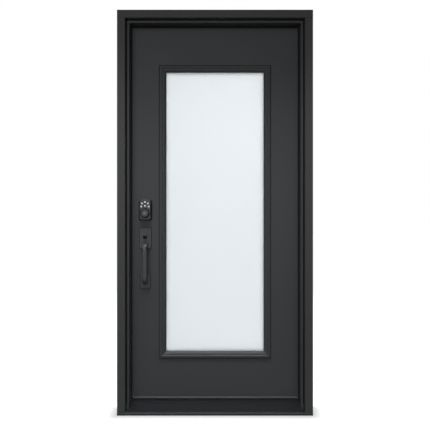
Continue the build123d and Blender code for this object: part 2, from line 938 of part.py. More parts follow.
def bolt_case(z, width, height, depth, tail_half):
    """A bolt's case: faceplate, tube in the edge bore and a flat housing in the cross bore."""
    face = block(
        -half_slab, -half_slab + faceplate_sheet, slab_middle - faceplate_width / 2,
        slab_middle + faceplate_width / 2, z - faceplate_height / 2, z + faceplate_height / 2,
    )
    face = fillet(edges_at(face, Axis.X), 4.0)
    rear = lock_x - math.sqrt(cross_bore_radius**2 - tail_half**2) + 2 * mortise_gap
    tube = round_x(slab_middle, z, case_tube_radius, -half_slab + faceplate_sheet, rear + 3)
    housing = block(
        rear, lock_x + hub_radius + 8, slab_middle - depth / 2, slab_middle + depth / 2, z - tail_half,
        z + tail_half,
    )
    case = face + tube + housing
    case -= bolt_bar(z, width + 2 * sliding, height + 2 * sliding, -half_slab - 1, lock_x - hub_radius - 5)
    case -= round_y(lock_x, z, hub_radius, slab_out, slab_in)
    return screw_hole(case, [p for p in faceplate_screws() if abs(p.position.Z - z) < faceplate_height])


def bolt_bar(z, width, height, x0, x1):
    """A bar along X with rounded corners, centred on the slab's thickness."""
    corner = min(width, height) * 0.3
    low, high, bottom, top = slab_middle - width / 2, slab_middle + width / 2, z - height / 2, z + height / 2
    face = section((low, bottom, corner), (high, bottom, corner), (high, top, corner), (low, top, corner))
    return along_x(face, x0, x1)


def deadbolt_case():
    """The deadbolt's case."""
    return bolt_case(deadbolt_z, deadbolt_width, deadbolt_height, deadbolt_case_depth, deadbolt_tail)


def latch_case():
    """The latch bolt's case."""
    return bolt_case(latch_height, latch_width, latch_tall, latch_case_depth, latch_tail)


def deadbolt():
    """The square-ended deadbolt, drawn back flush with its faceplate."""
    bar = bolt_bar(deadbolt_z, deadbolt_width, deadbolt_height, -half_slab, -half_slab + deadbolt_length)
    return fillet(bar.faces().sort_by(Axis.X)[0].edges(), 1.0)


def latch_bolt():
    """The spring latch, thrown, with the slanted side that rides on the strike as the door shuts."""
    tip = -half_slab - latch_throw
    bar = bolt_bar(latch_height, latch_width, latch_tall, tip, tip + latch_length)
    low, high = slab_middle - latch_width / 2, slab_middle + latch_width / 2
    wedge = make_face(
        Polyline((tip - 1, low - 1), (tip - 1, high - latch_tip), (-half_slab, low), (-half_slab, low - 1), close=True)
    )
    return bar - along_z(wedge, latch_height - latch_tall, latch_height + latch_tall)


# Lock bolts

def lock_bolt_places():
    """Where each through bolt's head seats: two at the lock, two at the latch, one at the grip."""
    seats = [(bolt_seat, z + side * bolt_spread) for z in (latch_height, deadbolt_z) for side in (1, -1)]
    return [pointing(lock_x, y, z, (0, -1, 0)) for y, z in [*seats, (slab_in, lower_plate_z)]]


def through_bolt(room=0.0, above=bolt_head_height):
    """A bolt with a pan head above the origin and its shank down. Room makes its hole."""
    shank, head = bolt_radius + room, bolt_head_radius + room
    tip = -bolt_length - (bolt_tip_room if room else 0)
    return turned((0, above), (head, above, 1.0), (head, 0), (shank, 0), (shank, tip), (0, tip))


def lock_bolts():
    """The five through bolts, all alike."""
    return Compound(children=[place * through_bolt() for place in lock_bolt_places()])


def bolt_holes(shape):
    """Cuts the through bolts' holes and head recesses out of a shape."""
    for place in lock_bolt_places():
        shape -= place * through_bolt(running, 2 * cover_depth)
    return shape


def posts(places):
    """Threaded posts behind an outside plate, in the slab's bores."""
    return [round_y(lock_x, z, post_radius, slab_out - 1, slab_out + post_length) for z in places]


# Keypad deadbolt, outside

def keypad_outline():
    """The housing's outline about the lock's axis: straight sides, an arched top and a bowed foot."""
    half, foot = keypad_width / 2, keypad_bow - keypad_below
    outline = Line((half, foot), (half, keypad_shoulder))
    outline += ThreePointArc((half, keypad_shoulder), (0, keypad_above), (-half, keypad_shoulder))
    outline += Line((-half, keypad_shoulder), (-half, foot))
    outline += ThreePointArc((-half, foot), (0, -keypad_below), (half, foot))
    face = make_face(outline)
    return fillet(face.vertices(), keypad_corner)


def button_spots():
    """Where the six buttons lie, from the lock's axis: one in the middle and five round it."""
    spots = [(0.0, buttons_above)]
    for i in range(5):
        angle = math.radians(90 + (i - 2) * button_pitch)
        spots.append((button_circle * math.cos(angle), buttons_above + button_circle * math.sin(angle)))
    return spots


def keypad_housing():
    """The cast housing, whose sides slope in, with a well for each button and a deep one for the knob."""
    body = extrude(keypad_outline(), keypad_depth, taper=keypad_draft)
    body = fillet(body.faces().sort_by(Axis.Z)[-1].edges(), keypad_round)
    body -= Pos(0, 0, keypad_depth) * Cylinder(well_radius, 2 * well_depth)
    body -= Cylinder(hub_radius + 2 * running, 4 * keypad_depth)
    for x, z in button_spots():
        body -= Pos(x, z, keypad_depth) * Cylinder(button_radius + sliding, 2 * (button_length + button_travel))
    placed = outside(lock_x, slab_out, deadbolt_z) * body
    for post in posts([deadbolt_z + bolt_spread, deadbolt_z - bolt_spread]):
        placed += post
    return bolt_holes(placed)


def button(index):
    """One lit push button, slightly proud of the housing's face."""
    x, z = button_spots()[index]
    tall = button_length
    cap = turned(
        (0, button_proud - tall), (button_radius, button_proud - tall), (button_radius, button_proud, 0.5),
        (0, button_proud),
    )
    return outside(lock_x + x, keypad_face, deadbolt_z + z) * cap


def turn_knob():
    """The outside turn knob: a flange deep in its well, a waist, a grip with two finger flats, a shaft."""
    low, top = -well_depth + 0.3, knob_depth
    knob = turned(
        (0, low), (knob_flange, low), (knob_flange, low + 2.5, 0.8), (knob_waist, low + 4, 2.0),
        (knob_waist, 1.0, 2.0), (knob_radius, 5.0, 2.0), (knob_radius, top, 2.5), (0, top),
    )
    for side in (-1, 1):
        middle = side * (knob_radius + finger_flat_radius - finger_flat_bite)
        knob -= Pos(middle, 0, top) * Cylinder(finger_flat_radius, 2 * (top - 7))
    knob += Pos(0, 0, (low - keypad_depth - 8) / 2) * Cylinder(hub_radius, keypad_depth + 8 + low)
    knob -= Pos(0, 0, top) * Cylinder(plug_radius + running, 2 * (top - plug_floor))
    return outside(lock_x, keypad_face, deadbolt_z) * knob


def key_plug():
    """The keyed plug in the middle of the knob, with its keyway."""
    top = knob_depth - plug_setback
    plug = Pos(0, 0, top - plug_length / 2) * Cylinder(plug_radius, plug_length)
    plug -= Pos(0, 0, top) * Box(keyway_width, keyway_height, 2 * (plug_length - keyway_floor))
    return outside(lock_x, keypad_face, deadbolt_z) * plug


# Lock, inside

def lock_inside_cover():
    """The inside housing of the keypad lock, which holds the turn."""
    half = cover_width / 2
    top = cover_height - cover_below
    face = section(
        (-half, -cover_below, 8.0), (half, -cover_below, 8.0), (half, top, 20.0), (-half, top, 20.0)
    )
    body = extrude(face, cover_depth)
    body = fillet(body.faces().sort_by(Axis.Z)[-1].edges(), cover_round)
    body -= Cylinder(hub_radius + running, 4 * cover_depth)
    return bolt_holes(inside(lock_x, slab_in, deadbolt_z) * body)


def thumbturn():
    """The inside turn: a rounded blade on a round hub, with the flat spindle to the deadbolt."""
    half, tall, corner = turn_width / 2, turn_length / 2, turn_width * 0.45
    outline = section((-half, -tall, corner), (half, -tall, corner), (half, tall, corner), (-half, tall, corner))
    blade = extrude(outline, turn_depth)
    blade = fillet(blade.faces().sort_by(Axis.Z)[-1].edges(), 2.0)
    turn = Pos(0, 0, 2.5) * blade + Pos(0, 0, 1.65) * Cylinder(turn_disc_radius, 2.7)
    hub_tall = cover_depth - 2
    turn += Pos(0, 0, 0.5 - hub_tall / 2) * Cylinder(hub_radius, hub_tall + 1)
    spindle = slab_thickness + cover_depth - 12
    turn += Pos(0, 0, -spindle / 2) * Cylinder(spindle_radius, spindle)
    return inside(lock_x, cover_face, deadbolt_z) * turn


# Handleset

def eased_plate(width, height):
    """A flat cast plate with rounded corners and eased front edges."""
    half, tall, corner = width / 2, height / 2, plate_corner
    face = section((-half, -tall, corner), (half, -tall, corner), (half, tall, corner), (-half, tall, corner))
    body = extrude(face, plate_thickness)
    return chamfer(body.faces().sort_by(Axis.Z)[-1].edges(), plate_ease)


def handle_upper_plate():
    """The plate behind the thumb piece and the top of the grip."""
    z = latch_height + upper_plate_above_latch
    plate = outside(lock_x, slab_out, z) * eased_plate(upper_plate_width, upper_plate_height)
    room = thumb_barrel + 0.6
    half = thumb_root_width / 2 + 0.5
    plate -= block(lock_x - half, lock_x + half, plate_face - 1, slab_out + 1, thumb_z - room, thumb_z + room)
    reach = half + trunnion_length
    plate -= round_x(thumb_y, thumb_z, trunnion_radius + running, lock_x - reach, lock_x + reach)
    for post in posts([latch_height + bolt_spread, latch_height - bolt_spread]):
        plate += post
    return bolt_holes(plate)


def handle_lower_plate():
    """The plate behind the foot of the grip, with the post for its bolt."""
    plate = outside(lock_x, slab_out, lower_plate_z) * eased_plate(lower_plate_width, lower_plate_height)
    for post in posts([lower_plate_z]):
        plate += post
    return bolt_holes(plate)


def handle_grip():
    """The bowed grip: a bar with rounded edges swept out of one plate, down and into the other."""
    out = slab_out - grip_standoff + grip_deep / 2
    top, bottom = latch_height - grip_top_below_latch, latch_height - grip_bottom_below_latch
    path = Plane(origin=(lock_x, 0, 0), x_dir=(0, 1, 0), z_dir=(1, 0, 0)) * FilletPolyline(
        (plate_face, top), (out, top), (out, bottom), (plate_face, bottom), radius=grip_bend
    )
    half, deep, corner = grip_width / 2, grip_deep / 2, grip_corner
    face = section((-half, -deep, corner), (half, -deep, corner), (half, deep, corner), (-half, deep, corner))
    profile = Plane(origin=(lock_x, plate_face, top), x_dir=(1, 0, 0), z_dir=(0, -1, 0)) * face
    return sweep(profile, path=path)


def thumb_piece():
    """The thumb piece on its trunnions, which flares and curls up, with the arm that draws the latch."""
    root, wide, half_sheet = thumb_root_width / 2, thumb_tip_width / 2, thumb_sheet / 2
    tip = thumb_y - thumb_reach
    bend = thumb_y - 9
    paddle = [
        (thumb_y, -half_sheet), (bend, -half_sheet, 12.0), (tip, thumb_rise - thumb_lip, 8.0), (tip, thumb_rise, 1.2),
        (tip + thumb_sheet, thumb_rise, 1.2), (tip + thumb_sheet, thumb_rise - thumb_lip + half_sheet, 6.0),
        (bend + 1, half_sheet, 10.0), (thumb_y, half_sheet),
    ]
    face = section(*[(c[0], thumb_z + c[1], *c[2:]) for c in paddle])
    plan = section(
        (-root, thumb_y + 1), (-root, plate_face - 1), (-wide, tip + thumb_lip, 6.0), (-wide, tip, 5.0),
        (wide, tip, 5.0), (wide, tip + thumb_lip, 6.0), (root, plate_face - 1), (root, thumb_y + 1),
    )
    outline = Pos(lock_x, 0, 0) * along_z(plan, thumb_z - thumb_rise, thumb_z + thumb_rise + 1)
    piece = along_x(face, lock_x - wide, lock_x + wide) & outline
    piece += round_x(thumb_y, thumb_z, thumb_barrel, lock_x - root, lock_x + root)
    trunnion = root + trunnion_length - sliding
    piece += round_x(thumb_y, thumb_z, trunnion_radius, lock_x - trunnion, lock_x + trunnion)
    arm, arm_end = thumb_arm_width / 2, slab_middle - latch_case_depth / 2 - 1.5
    return piece + block(
        lock_x - arm, lock_x + arm, thumb_y, arm_end, thumb_z - thumb_arm_sheet / 2, thumb_z + thumb_arm_sheet / 2
    )


def inside_rose():
    """The round plate behind the inside knob."""
    rose = turned(
        (knob_neck_radius + running, 0), (rose_radius, 0), (rose_radius, rose_thickness - 3, 3.0),
        (rose_radius - 8, rose_thickness), (knob_neck_radius + running, rose_thickness),
    )
    return bolt_holes(inside(lock_x, slab_in, latch_height) * rose)


def inside_knob():
    """The inside knob on its neck, with the spindle through the latch."""
    base, top = -rose_thickness + 1, inside_knob_reach - rose_thickness
    middle = (12 + top) / 2
    knob = turned(
        (0, base), (knob_neck_radius, base), (knob_neck_radius, 8, 3.0), (inside_knob_radius - 3, 14, 6.0),
        (inside_knob_radius, middle, 8.0), (inside_knob_radius - 4, top - 3, 6.0), (8, top, 6.0), (0, top),
    )
    spindle = slab_thickness + rose_thickness - 14
    knob += Pos(0, 0, -spindle / 2) * Cylinder(spindle_radius + 0.8, spindle)
    return inside(lock_x, rose_face, latch_height) * knob


def pieces():
    """Every piece of the door, by the name of its node."""
    made = {
        "strike_jamb": strike_jamb(),
        "hinge_jamb": hinge_jamb(),
        "head_jamb": head_jamb(),
        "brickmould_left": mirrored(brickmould_leg()),
        "brickmould_right": brickmould_leg(),
        "brickmould_head": brickmould_head(),
        "sill_deck": sill_deck(),
        "sill_substrate": sill_substrate(),
        "threshold_cap": threshold_cap(),
        "weatherstrip_strike_side": mirrored(side_strip()),
        "weatherstrip_hinge_side": side_strip(),
        "weatherstrip_head": head_strip(),
        "corner_pads": corner_pads(),
        "latch_strike": strike_plate(latch_height, latch_width, latch_tall),
        "deadbolt_strike": strike_plate(deadbolt_z, deadbolt_width, deadbolt_height),
        "frame_screws": all_screws([*frame_hinge_screws(), *strike_screws(), *cap_screws()]),
        "hinge_pins": hinge_pins(),
        "exterior_skin": exterior_skin(),
        "interior_skin": interior_skin(),
        "hinge_stile": hinge_stile(),
        "lock_stile": lock_stile(),
        "top_rail": rail(slab_top - top_rail_height, slab_top),
        "bottom_rail": rail(slab_bottom, slab_bottom + bottom_rail_height),
        "lock_block": lock_block(),
        "foam_core": foam_core(),
        "lite_frame_exterior": lite_frame_exterior(),
        "lite_frame_interior": lite_frame_interior(),
        "outer_glass": outer_glass(),
        "inner_glass": inner_glass(),
        "glass_spacer": glass_spacer(),
        "door_sweep": door_sweep(),
        "leaf_screws": all_screws([*leaf_hinge_screws(), *faceplate_screws(), *lite_screws()]),
        "keypad_housing": keypad_housing(),
        "lock_inside_cover": lock_inside_cover(),
        "deadbolt_case": deadbolt_case(),
        "latch_case": latch_case(),
        "handle_upper_plate": handle_upper_plate(),
        "handle_lower_plate": handle_lower_plate(),
        "handle_grip": handle_grip(),
        "inside_rose": inside_rose(),
        "lock_bolts": lock_bolts(),
        "turn_knob": turn_knob(),
        "key_plug": key_plug(),
        "thumb_piece": thumb_piece(),
        "inside_knob": inside_knob(),
        "thumbturn": thumbturn(),
        "latch_bolt": latch_bolt(),
        "deadbolt": deadbolt(),
    }
    for name, z in hinge_heights.items():
        made[f"hinge_{name}_frame_leaf"] = hinge_frame_half(z)
        made[f"hinge_{name}_door_leaf"] = hinge_door_half(z)
    for index in range(6):
        made[f"button_{index + 1}"] = button(index)
    return made


os.makedirs("parts", exist_ok=True)
for node, shape in pieces().items():
    export_step(shape, f"parts/{node}.step")
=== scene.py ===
"""Looks of a steel entry door: an insulated slab with a tall frosted lite, hung in its frame.

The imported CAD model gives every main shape. This script dresses each of its pieces in a
procedural finish, adds the small repeated parts that the CAD keeps plain, and sets up the
studio. Sizes are in metres unless a name says otherwise. +X is right as seen from the
street, +Y goes into the house and +Z is up.
"""

import json
import logging
import math
from dataclasses import dataclass
from enum import Enum
from typing import Any, Optional

import bpy
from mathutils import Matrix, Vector

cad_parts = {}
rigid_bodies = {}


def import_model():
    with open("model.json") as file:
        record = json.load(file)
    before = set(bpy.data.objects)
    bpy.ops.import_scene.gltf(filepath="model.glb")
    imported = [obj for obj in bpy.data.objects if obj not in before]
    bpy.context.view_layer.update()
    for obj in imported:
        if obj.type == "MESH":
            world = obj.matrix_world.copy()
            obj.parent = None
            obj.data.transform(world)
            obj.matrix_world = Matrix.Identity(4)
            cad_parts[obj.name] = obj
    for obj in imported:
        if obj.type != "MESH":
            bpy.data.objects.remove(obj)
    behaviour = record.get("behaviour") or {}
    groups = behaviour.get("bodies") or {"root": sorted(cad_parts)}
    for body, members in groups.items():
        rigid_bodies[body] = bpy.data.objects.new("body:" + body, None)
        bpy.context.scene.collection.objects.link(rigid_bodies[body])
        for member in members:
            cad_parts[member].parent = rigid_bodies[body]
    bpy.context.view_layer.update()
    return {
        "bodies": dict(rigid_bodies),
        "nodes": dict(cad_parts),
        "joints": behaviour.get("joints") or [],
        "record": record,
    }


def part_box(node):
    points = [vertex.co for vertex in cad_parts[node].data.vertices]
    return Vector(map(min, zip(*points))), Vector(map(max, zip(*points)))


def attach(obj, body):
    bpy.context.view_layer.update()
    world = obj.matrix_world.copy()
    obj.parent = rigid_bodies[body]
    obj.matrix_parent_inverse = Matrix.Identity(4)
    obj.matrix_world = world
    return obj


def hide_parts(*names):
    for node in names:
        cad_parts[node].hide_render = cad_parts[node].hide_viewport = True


LOG = logging.getLogger("entry_door")
IMAGE_SIDE = 430
MM = 0.001
HINGE_HEIGHTS = ("top", "middle", "bottom")
# How many sides a thin round section has.
SECTION_SIDES = 10
# Places of the sockets that the Mix node uses for colours.
COLOUR_MIX_FACTOR, COLOUR_MIX_LOW, COLOUR_MIX_HIGH, COLOUR_MIX_RESULT = 0, 6, 7, 2
WHITE = (1.0, 1.0, 1.0, 1.0)
# The ways that an added part can look.
STREET, HOUSE, UP, RIGHT, LEFT = (
    Vector(way) for way in ((0, -1, 0), (0, 1, 0), (0, 0, 1), (1, 0, 0), (-1, 0, 0))
)
# A place, and the way that the part there looks.
Spot = tuple[Vector, Vector]


class Grain(Enum):
    """The direction that a drawn, brushed or sawn surface runs in."""

    ALONG_X = (0.04, 1.0, 1.0)
    ALONG_Z = (1.0, 1.0, 0.04)


class Detail(Enum):
    """How many finer layers a noise pattern carries."""

    SMOOTH = 1.5
    PLAIN = 2.0
    FINE = 3.0
    WORN = 4.0
    FIBROUS = 5.0


class Body(Enum):
    """The moving bodies that the added pieces ride on."""

    FRAME = "frame"
    LEAF = "leaf"


class Slot(Enum):
    """Names of the record's material slots, passed along with the added pieces."""

    STEEL = "hardware_steel"
    DARK = "hardware_dark"
    FOAM = "seal_foam"


# Helpers


def linear(colour: str) -> tuple[float, float, float, float]:
    """Turns an sRGB hex colour into the linear values that a shader reads.

    Args:
        colour: six hex digits after a hash sign.

    Returns:
        Red, green, blue and a whole alpha.
    """
    parts = [int(colour[i : i + 2], 16) / 255 for i in (1, 3, 5)]
    red, green, blue = (c / 12.92 if c <= 0.04045 else ((c + 0.055) / 1.055) ** 2.4 for c in parts)
    return red, green, blue, 1.0


def per_metre(size_mm: float) -> float:
    """Gives the texture scale whose features are about size_mm across."""
    return 1 / (size_mm * MM)


def middle(node: str) -> Vector:
    """Gives the middle of a CAD piece's box."""
    low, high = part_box(node)
    return (Vector(low) + Vector(high)) / 2


def add_node(
    tree: Any, kind: str, settings: Optional[dict] = None, links: Optional[dict] = None
) -> Any:
    """Adds one node to a tree.

    Args:
        tree: the shader or geometry tree.
        kind: the node's type name.
        settings: values by name, for the node's own properties or for its input sockets.
        links: output sockets by the name or index of the input that each one feeds.

    Returns:
        The new node.
    """
    node = tree.nodes.new(kind)
    for name, value in (settings or {}).items():
        if isinstance(name, str) and hasattr(node, name):
            setattr(node, name, value)
        else:
            node.inputs[name].default_value = value
    for name, sources in (links or {}).items():
        for source in sources if isinstance(sources, list) else [sources]:
            tree.links.new(source, node.inputs[name])
    return node


def dress(node: Any, material: Any) -> None:
    """Gives every material slot of an object one material."""
    if not node.material_slots:
        node.data.materials.append(material)
    for slot in node.material_slots:
        slot.material = material


# Finishes


@dataclass(frozen=True)
class Finish:
    """What every finish has: a colour, a gloss, and how far a pattern varies the surface.

    Attributes:
        name: what the material is called.
        colour: its sRGB hex colour.
        roughness: how dull it is, from 0 to 1.
        specular: how strongly its skin shines; 0.5 is plain polish.
        tint_spread: how far the colour goes either side, as a share of itself.
        gloss_spread: how far the roughness goes either side.
        relief_mm: how deep the fine relief is.
    """

    name: str
    colour: str
    roughness: float
    specular: float = 0.5
    tint_spread: float = 0.03
    gloss_spread: float = 0.05
    relief_mm: float = 0.03

    def start(self) -> tuple[Any, Any, Any]:
        """Makes the material with its shader.

        Returns:
            The material, its tree and its Principled shader.
        """
        material = bpy.data.materials.new(self.name)
        material.use_nodes = True
        material.diffuse_color = linear(self.colour)
        tree = material.node_tree
        shader = tree.nodes["Principled BSDF"]
        shader.inputs["Base Color"].default_value = linear(self.colour)
        shader.inputs["Roughness"].default_value = self.roughness
        shader.inputs["Specular IOR Level"].default_value = self.specular
        return material, tree, shader

    def place(self, tree: Any, stretch: tuple[float, float, float] = (1.0, 1.0, 1.0)) -> Any:
        """Gives the piece's own coordinates, squeezed where a pattern runs along one axis.

        Args:
            tree: the material's tree.
            stretch: the factor along each axis; a small one draws the pattern out.

        Returns:
            The socket to feed a texture with.
        """
        spot = add_node(tree, "ShaderNodeTexCoord").outputs["Object"]
        mapping = add_node(tree, "ShaderNodeMapping", {"Scale": stretch}, {"Vector": spot})
        return mapping.outputs["Vector"]

    def noise(
        self,
        tree: Any,
        spot: Any,
        size_mm: float,
        detail: Detail = Detail.PLAIN,
        twist: float = 0.0,
    ) -> Any:
        """Gives a cloudy pattern.

        Args:
            tree: the material's tree.
            spot: the coordinates' socket.
            size_mm: how large its clouds are.
            detail: how many finer layers it carries.
            twist: how far it is drawn into swirls.

        Returns:
            A socket that runs from 0 to 1.
        """
        settings = {"Scale": per_metre(size_mm), "Detail": detail.value, "Distortion": twist}
        return add_node(tree, "ShaderNodeTexNoise", settings, {"Vector": spot}).outputs["Fac"]

    def cells(self, tree: Any, spot: Any, size_mm: float) -> Any:
        """Gives a pattern of round cells about size_mm across, from 0 in each middle."""
        settings = {"Scale": per_metre(size_mm)}
        voronoi = add_node(tree, "ShaderNodeTexVoronoi", settings, {"Vector": spot})
        return voronoi.outputs["Distance"]

    def tint(self, tree: Any, shader: Any, pattern: Any) -> None:
        """Varies the colour a little with a pattern that runs from 0 to 1."""
        bounds = (1 - self.tint_spread, 1 + self.tint_spread)
        low, high = ([c * bound for c in linear(self.colour)[:3]] + [1.0] for bound in bounds)
        settings = {"data_type": "RGBA", COLOUR_MIX_LOW: low, COLOUR_MIX_HIGH: high}
        mix = add_node(tree, "ShaderNodeMix", settings, {COLOUR_MIX_FACTOR: pattern})
        tree.links.new(mix.outputs[COLOUR_MIX_RESULT], shader.inputs["Base Color"])

    def gloss(self, tree: Any, shader: Any, pattern: Any) -> None:
        """Varies the roughness a little with a pattern that runs from 0 to 1."""
        low, high = self.roughness - self.gloss_spread, self.roughness + self.gloss_spread
        settings = {"To Min": low, "To Max": high}
        ramp = add_node(tree, "ShaderNodeMapRange", settings, {"Value": pattern})
        tree.links.new(ramp.outputs["Result"], shader.inputs["Roughness"])

    def relief(self, tree: Any, shader: Any, pattern: Any) -> None:
        """Raises the surface by a pattern that runs from 0 to 1."""
        settings = {"Strength": 1.0, "Distance": self.relief_mm * MM}
        bump = add_node(tree, "ShaderNodeBump", settings, {"Height": pattern})
        tree.links.new(bump.outputs["Normal"], shader.inputs["Normal"])


@dataclass(frozen=True)
class Paint(Finish):
    """Factory-sprayed satin enamel: even and soft, with a faint orange peel."""

    specular: float = 0.15
    gloss_spread: float = 0.04
    peel_mm: float = 3.0
    drift_mm: float = 320.0

    def build(self) -> Any:
        """Makes the paint's material."""
        material, tree, shader = self.start()
        spot = self.place(tree)
        drift = self.noise(tree, spot, self.drift_mm, Detail.FINE)
        peel = self.noise(tree, spot, self.peel_mm, Detail.SMOOTH)
        self.tint(tree, shader, drift)
        self.gloss(tree, shader, drift)
        self.relief(tree, shader, peel)
        return material


@dataclass(frozen=True)
class PowderCoat(Finish):
    """Powder-coated zinc casting: a fine dry pebble that catches small points of light."""

    specular: float = 0.17
    tint_spread: float = 0.08
    gloss_spread: float = 0.07
    relief_mm: float = 0.06
    pebble_mm: float = 0.9
    worn_mm: float = 24.0

    def build(self) -> Any:
        """Makes the powder coat's material."""
        material, tree, shader = self.start()
        spot = self.place(tree)
        worn = self.noise(tree, spot, self.worn_mm, Detail.WORN)
        self.tint(tree, shader, worn)
        self.gloss(tree, shader, worn)
        self.relief(tree, shader, self.cells(tree, spot, self.pebble_mm))
        return material


@dataclass(frozen=True)
class Metal(Finish):
    """Drawn, brushed or anodised metal, with its fine lines along one axis."""

    tint_spread: float = 0.07
    gloss_spread: float = 0.06
    relief_mm: float = 0.01
    metallic: float = 1.0
    grain: Grain = Grain.ALONG_X
    line_mm: float = 0.5
    band_mm: float = 15.0

    def build(self) -> Any:
        """Makes the metal's material."""
        material, tree, shader = self.start()
        shader.inputs["Metallic"].default_value = self.metallic
        spot = self.place(tree, self.grain.value)
        lines = self.noise(tree, spot, self.line_mm)
        self.tint(tree, shader, self.noise(tree, spot, self.band_mm))
        self.gloss(tree, shader, lines)
        self.relief(tree, shader, lines)
        return material


@dataclass(frozen=True)
class Plastic(Finish):
    """Moulded plastic or vinyl: a dull skin with the mould's fine spark texture."""

    specular: float = 0.15
    spark_mm: float = 0.8
    cloud_mm: float = 128.0

    def build(self) -> Any:
        """Makes the plastic's material."""
        material, tree, shader = self.start()
        spot = self.place(tree)
        cloud = self.noise(tree, spot, self.cloud_mm)
        self.tint(tree, shader, cloud)
        self.gloss(tree, shader, cloud)
        self.relief(tree, shader, self.noise(tree, spot, self.spark_mm, Detail.FINE))
        return material


@dataclass(frozen=True)
class Foam(Finish):
    """Soft cellular foam: open cells that swallow the light."""

    specular: float = 0.15
    tint_spread: float = 0.12
    relief_mm: float = 0.15
    cell_mm: float = 0.7

    def build(self) -> Any:
        """Makes the foam's material."""
        material, tree, shader = self.start()
        cells = self.cells(tree, self.place(tree), self.cell_mm)
        self.tint(tree, shader, cells)
        self.relief(tree, shader, cells)
        return material


@dataclass(frozen=True)
class Wood(Finish):
    """Sawn board, bare or under a coat of paint that lets the grain show in relief."""

    specular: float = 0.3
    tint_spread: float = 0.18
    relief_mm: float = 0.12
    grain: Grain = Grain.ALONG_Z
    ring_mm: float = 5.0
    ring_twist: float = 0.6
    pores_per_ring: float = 6.0

    def build(self) -> Any:
        """Makes the wood's material."""
        material, tree, shader = self.start()
        spot = self.place(tree, self.grain.value)
        rings = self.noise(tree, spot, self.ring_mm, Detail.FIBROUS, self.ring_twist)
        self.tint(tree, shader, rings)
        self.relief(tree, shader, self.noise(tree, spot, self.ring_mm / self.pores_per_ring))
        return material


@dataclass(frozen=True)
class Glass(Finish):
    """Float glass, clear or acid-etched; the etch spreads what is behind into an even glow."""

    relief_mm: float = 0.05
    etch_mm: float = 0.0
    ior: float = 1.52

    def build(self) -> Any:
        """Makes the glass's material."""
        material, tree, shader = self.start()
        shader.inputs["Transmission Weight"].default_value = 1.0
        shader.inputs["IOR"].default_value = self.ior
        if self.etch_mm:
            etch = self.noise(tree, self.place(tree), self.etch_mm, Detail.FINE)
            self.gloss(tree, shader, etch)
            self.relief(tree, shader, etch)
        return material


@dataclass(frozen=True)
class Lens(Finish):
    """Translucent acrylic button cap, lit from behind by a white lamp."""

    relief_mm: float = 0.02
    frost_mm: float = 1.2
    glow: float = 0.85

    def build(self) -> Any:
        """Makes the lit cap's material."""
        material, tree, shader = self.start()
        shader.inputs["Emission Color"].default_value = linear(self.colour)
        shader.inputs["Emission Strength"].default_value = self.glow
        self.relief(tree, shader, self.noise(tree, self.place(tree), self.frost_mm))
        return material


# Sprayed enamel on the pine frame: the same charcoal as the slab, a shade flatter.
FRAME_PAINT = Paint("satin_enamel_on_pine", "#363837", 0.48)
# Sprayed enamel on the steel skins: even charcoal with a soft sheen.
SKIN_PAINT = Paint("satin_enamel_on_steel", "#36383A", 0.45)
# Moulded lite frame, painted with the slab.
LITE_PLASTIC = Plastic("painted_moulded_lite_frame", "#363839", 0.45)
# Anodised aluminium deck, drawn along the sill: the dyed oxide on top is dull and hides the metal.
SILL_METAL = Metal("dark_anodised_aluminium", "#14171A", 0.48, metallic=0.0, specular=0.25)
# Composite block under the deck: dull and coarse.
SILL_BLOCK = Plastic("filled_composite", "#2B2B2A", 0.8, spark_mm=2.0, cloud_mm=320.0)
# Rigid vinyl cap that the sweep closes on.
CAP_PLASTIC = Plastic("rigid_vinyl_cap", "#1E1F20", 0.6)
# Skinned urethane foam of the weatherstrips, cords and sealant: dead black; on the cords, the
# sealant and the knob's ring it also paints shade.
SEAL_FOAM = Foam("skinned_urethane_foam", "#161616", 0.9)
# Flexible vinyl of the door sweep.
SWEEP_VINYL = Plastic("flexible_vinyl", "#1A1A1A", 0.6)
# Painted edge boards: the grain shows through the enamel as fine relief.
EDGE_BOARD = Wood("painted_edge_board", "#303132", 0.6, tint_spread=0.06)
# Bare softwood inside the slab.
BARE_BOARD = Wood("sawn_pine", "#B98F5E", 0.7, grain=Grain.ALONG_X)
# Polyurethane core: pale yellow cells.
CORE_FOAM = Foam("urethane_core", "#D8C98F", 0.9, cell_mm=1.5)
# Acid-etched float glass: it passes the light behind as an even pale glow.
FROSTED_GLASS = Glass("acid_etched_glass", "#E7EAED", 0.67, etch_mm=1.5)
# Clear float glass on the room side.
CLEAR_GLASS = Glass("clear_float_glass", "#FAFCFC", 0.02)
# Roll-formed aluminium spacer between the panes.
SPACER_METAL = Metal("mill_aluminium_spacer", "#8D9092", 0.45, grain=Grain.ALONG_Z)
# Zinc-plated, blackened steel of the hinges, strikes, bolts and screws.
STEEL = Metal("blackened_steel", "#54565A", 0.38, grain=Grain.ALONG_Z)
# Powder-coated zinc of the lock and the handleset.
DARK_CAST = PowderCoat("powder_coated_zinc", "#3C3D40", 0.41)
# Satin nickel of the key plug, a step brighter than the knob round it.
PLUG_METAL = Metal("satin_nickel_plug", "#5C5D5E", 0.5)
# Lit acrylic of the buttons.
BUTTON_LENS = Lens("lit_acrylic_cap", "#919599", 0.3)

ALL_FINISHES = (
    FRAME_PAINT,
    SKIN_PAINT,
    LITE_PLASTIC,
    SILL_METAL,
    SILL_BLOCK,
    CAP_PLASTIC,
    SEAL_FOAM,
    SWEEP_VINYL,
    EDGE_BOARD,
    BARE_BOARD,
    CORE_FOAM,
    FROSTED_GLASS,
    CLEAR_GLASS,
    SPACER_METAL,
    STEEL,
    DARK_CAST,
    PLUG_METAL,
    BUTTON_LENS,
)


# Geometry Nodes


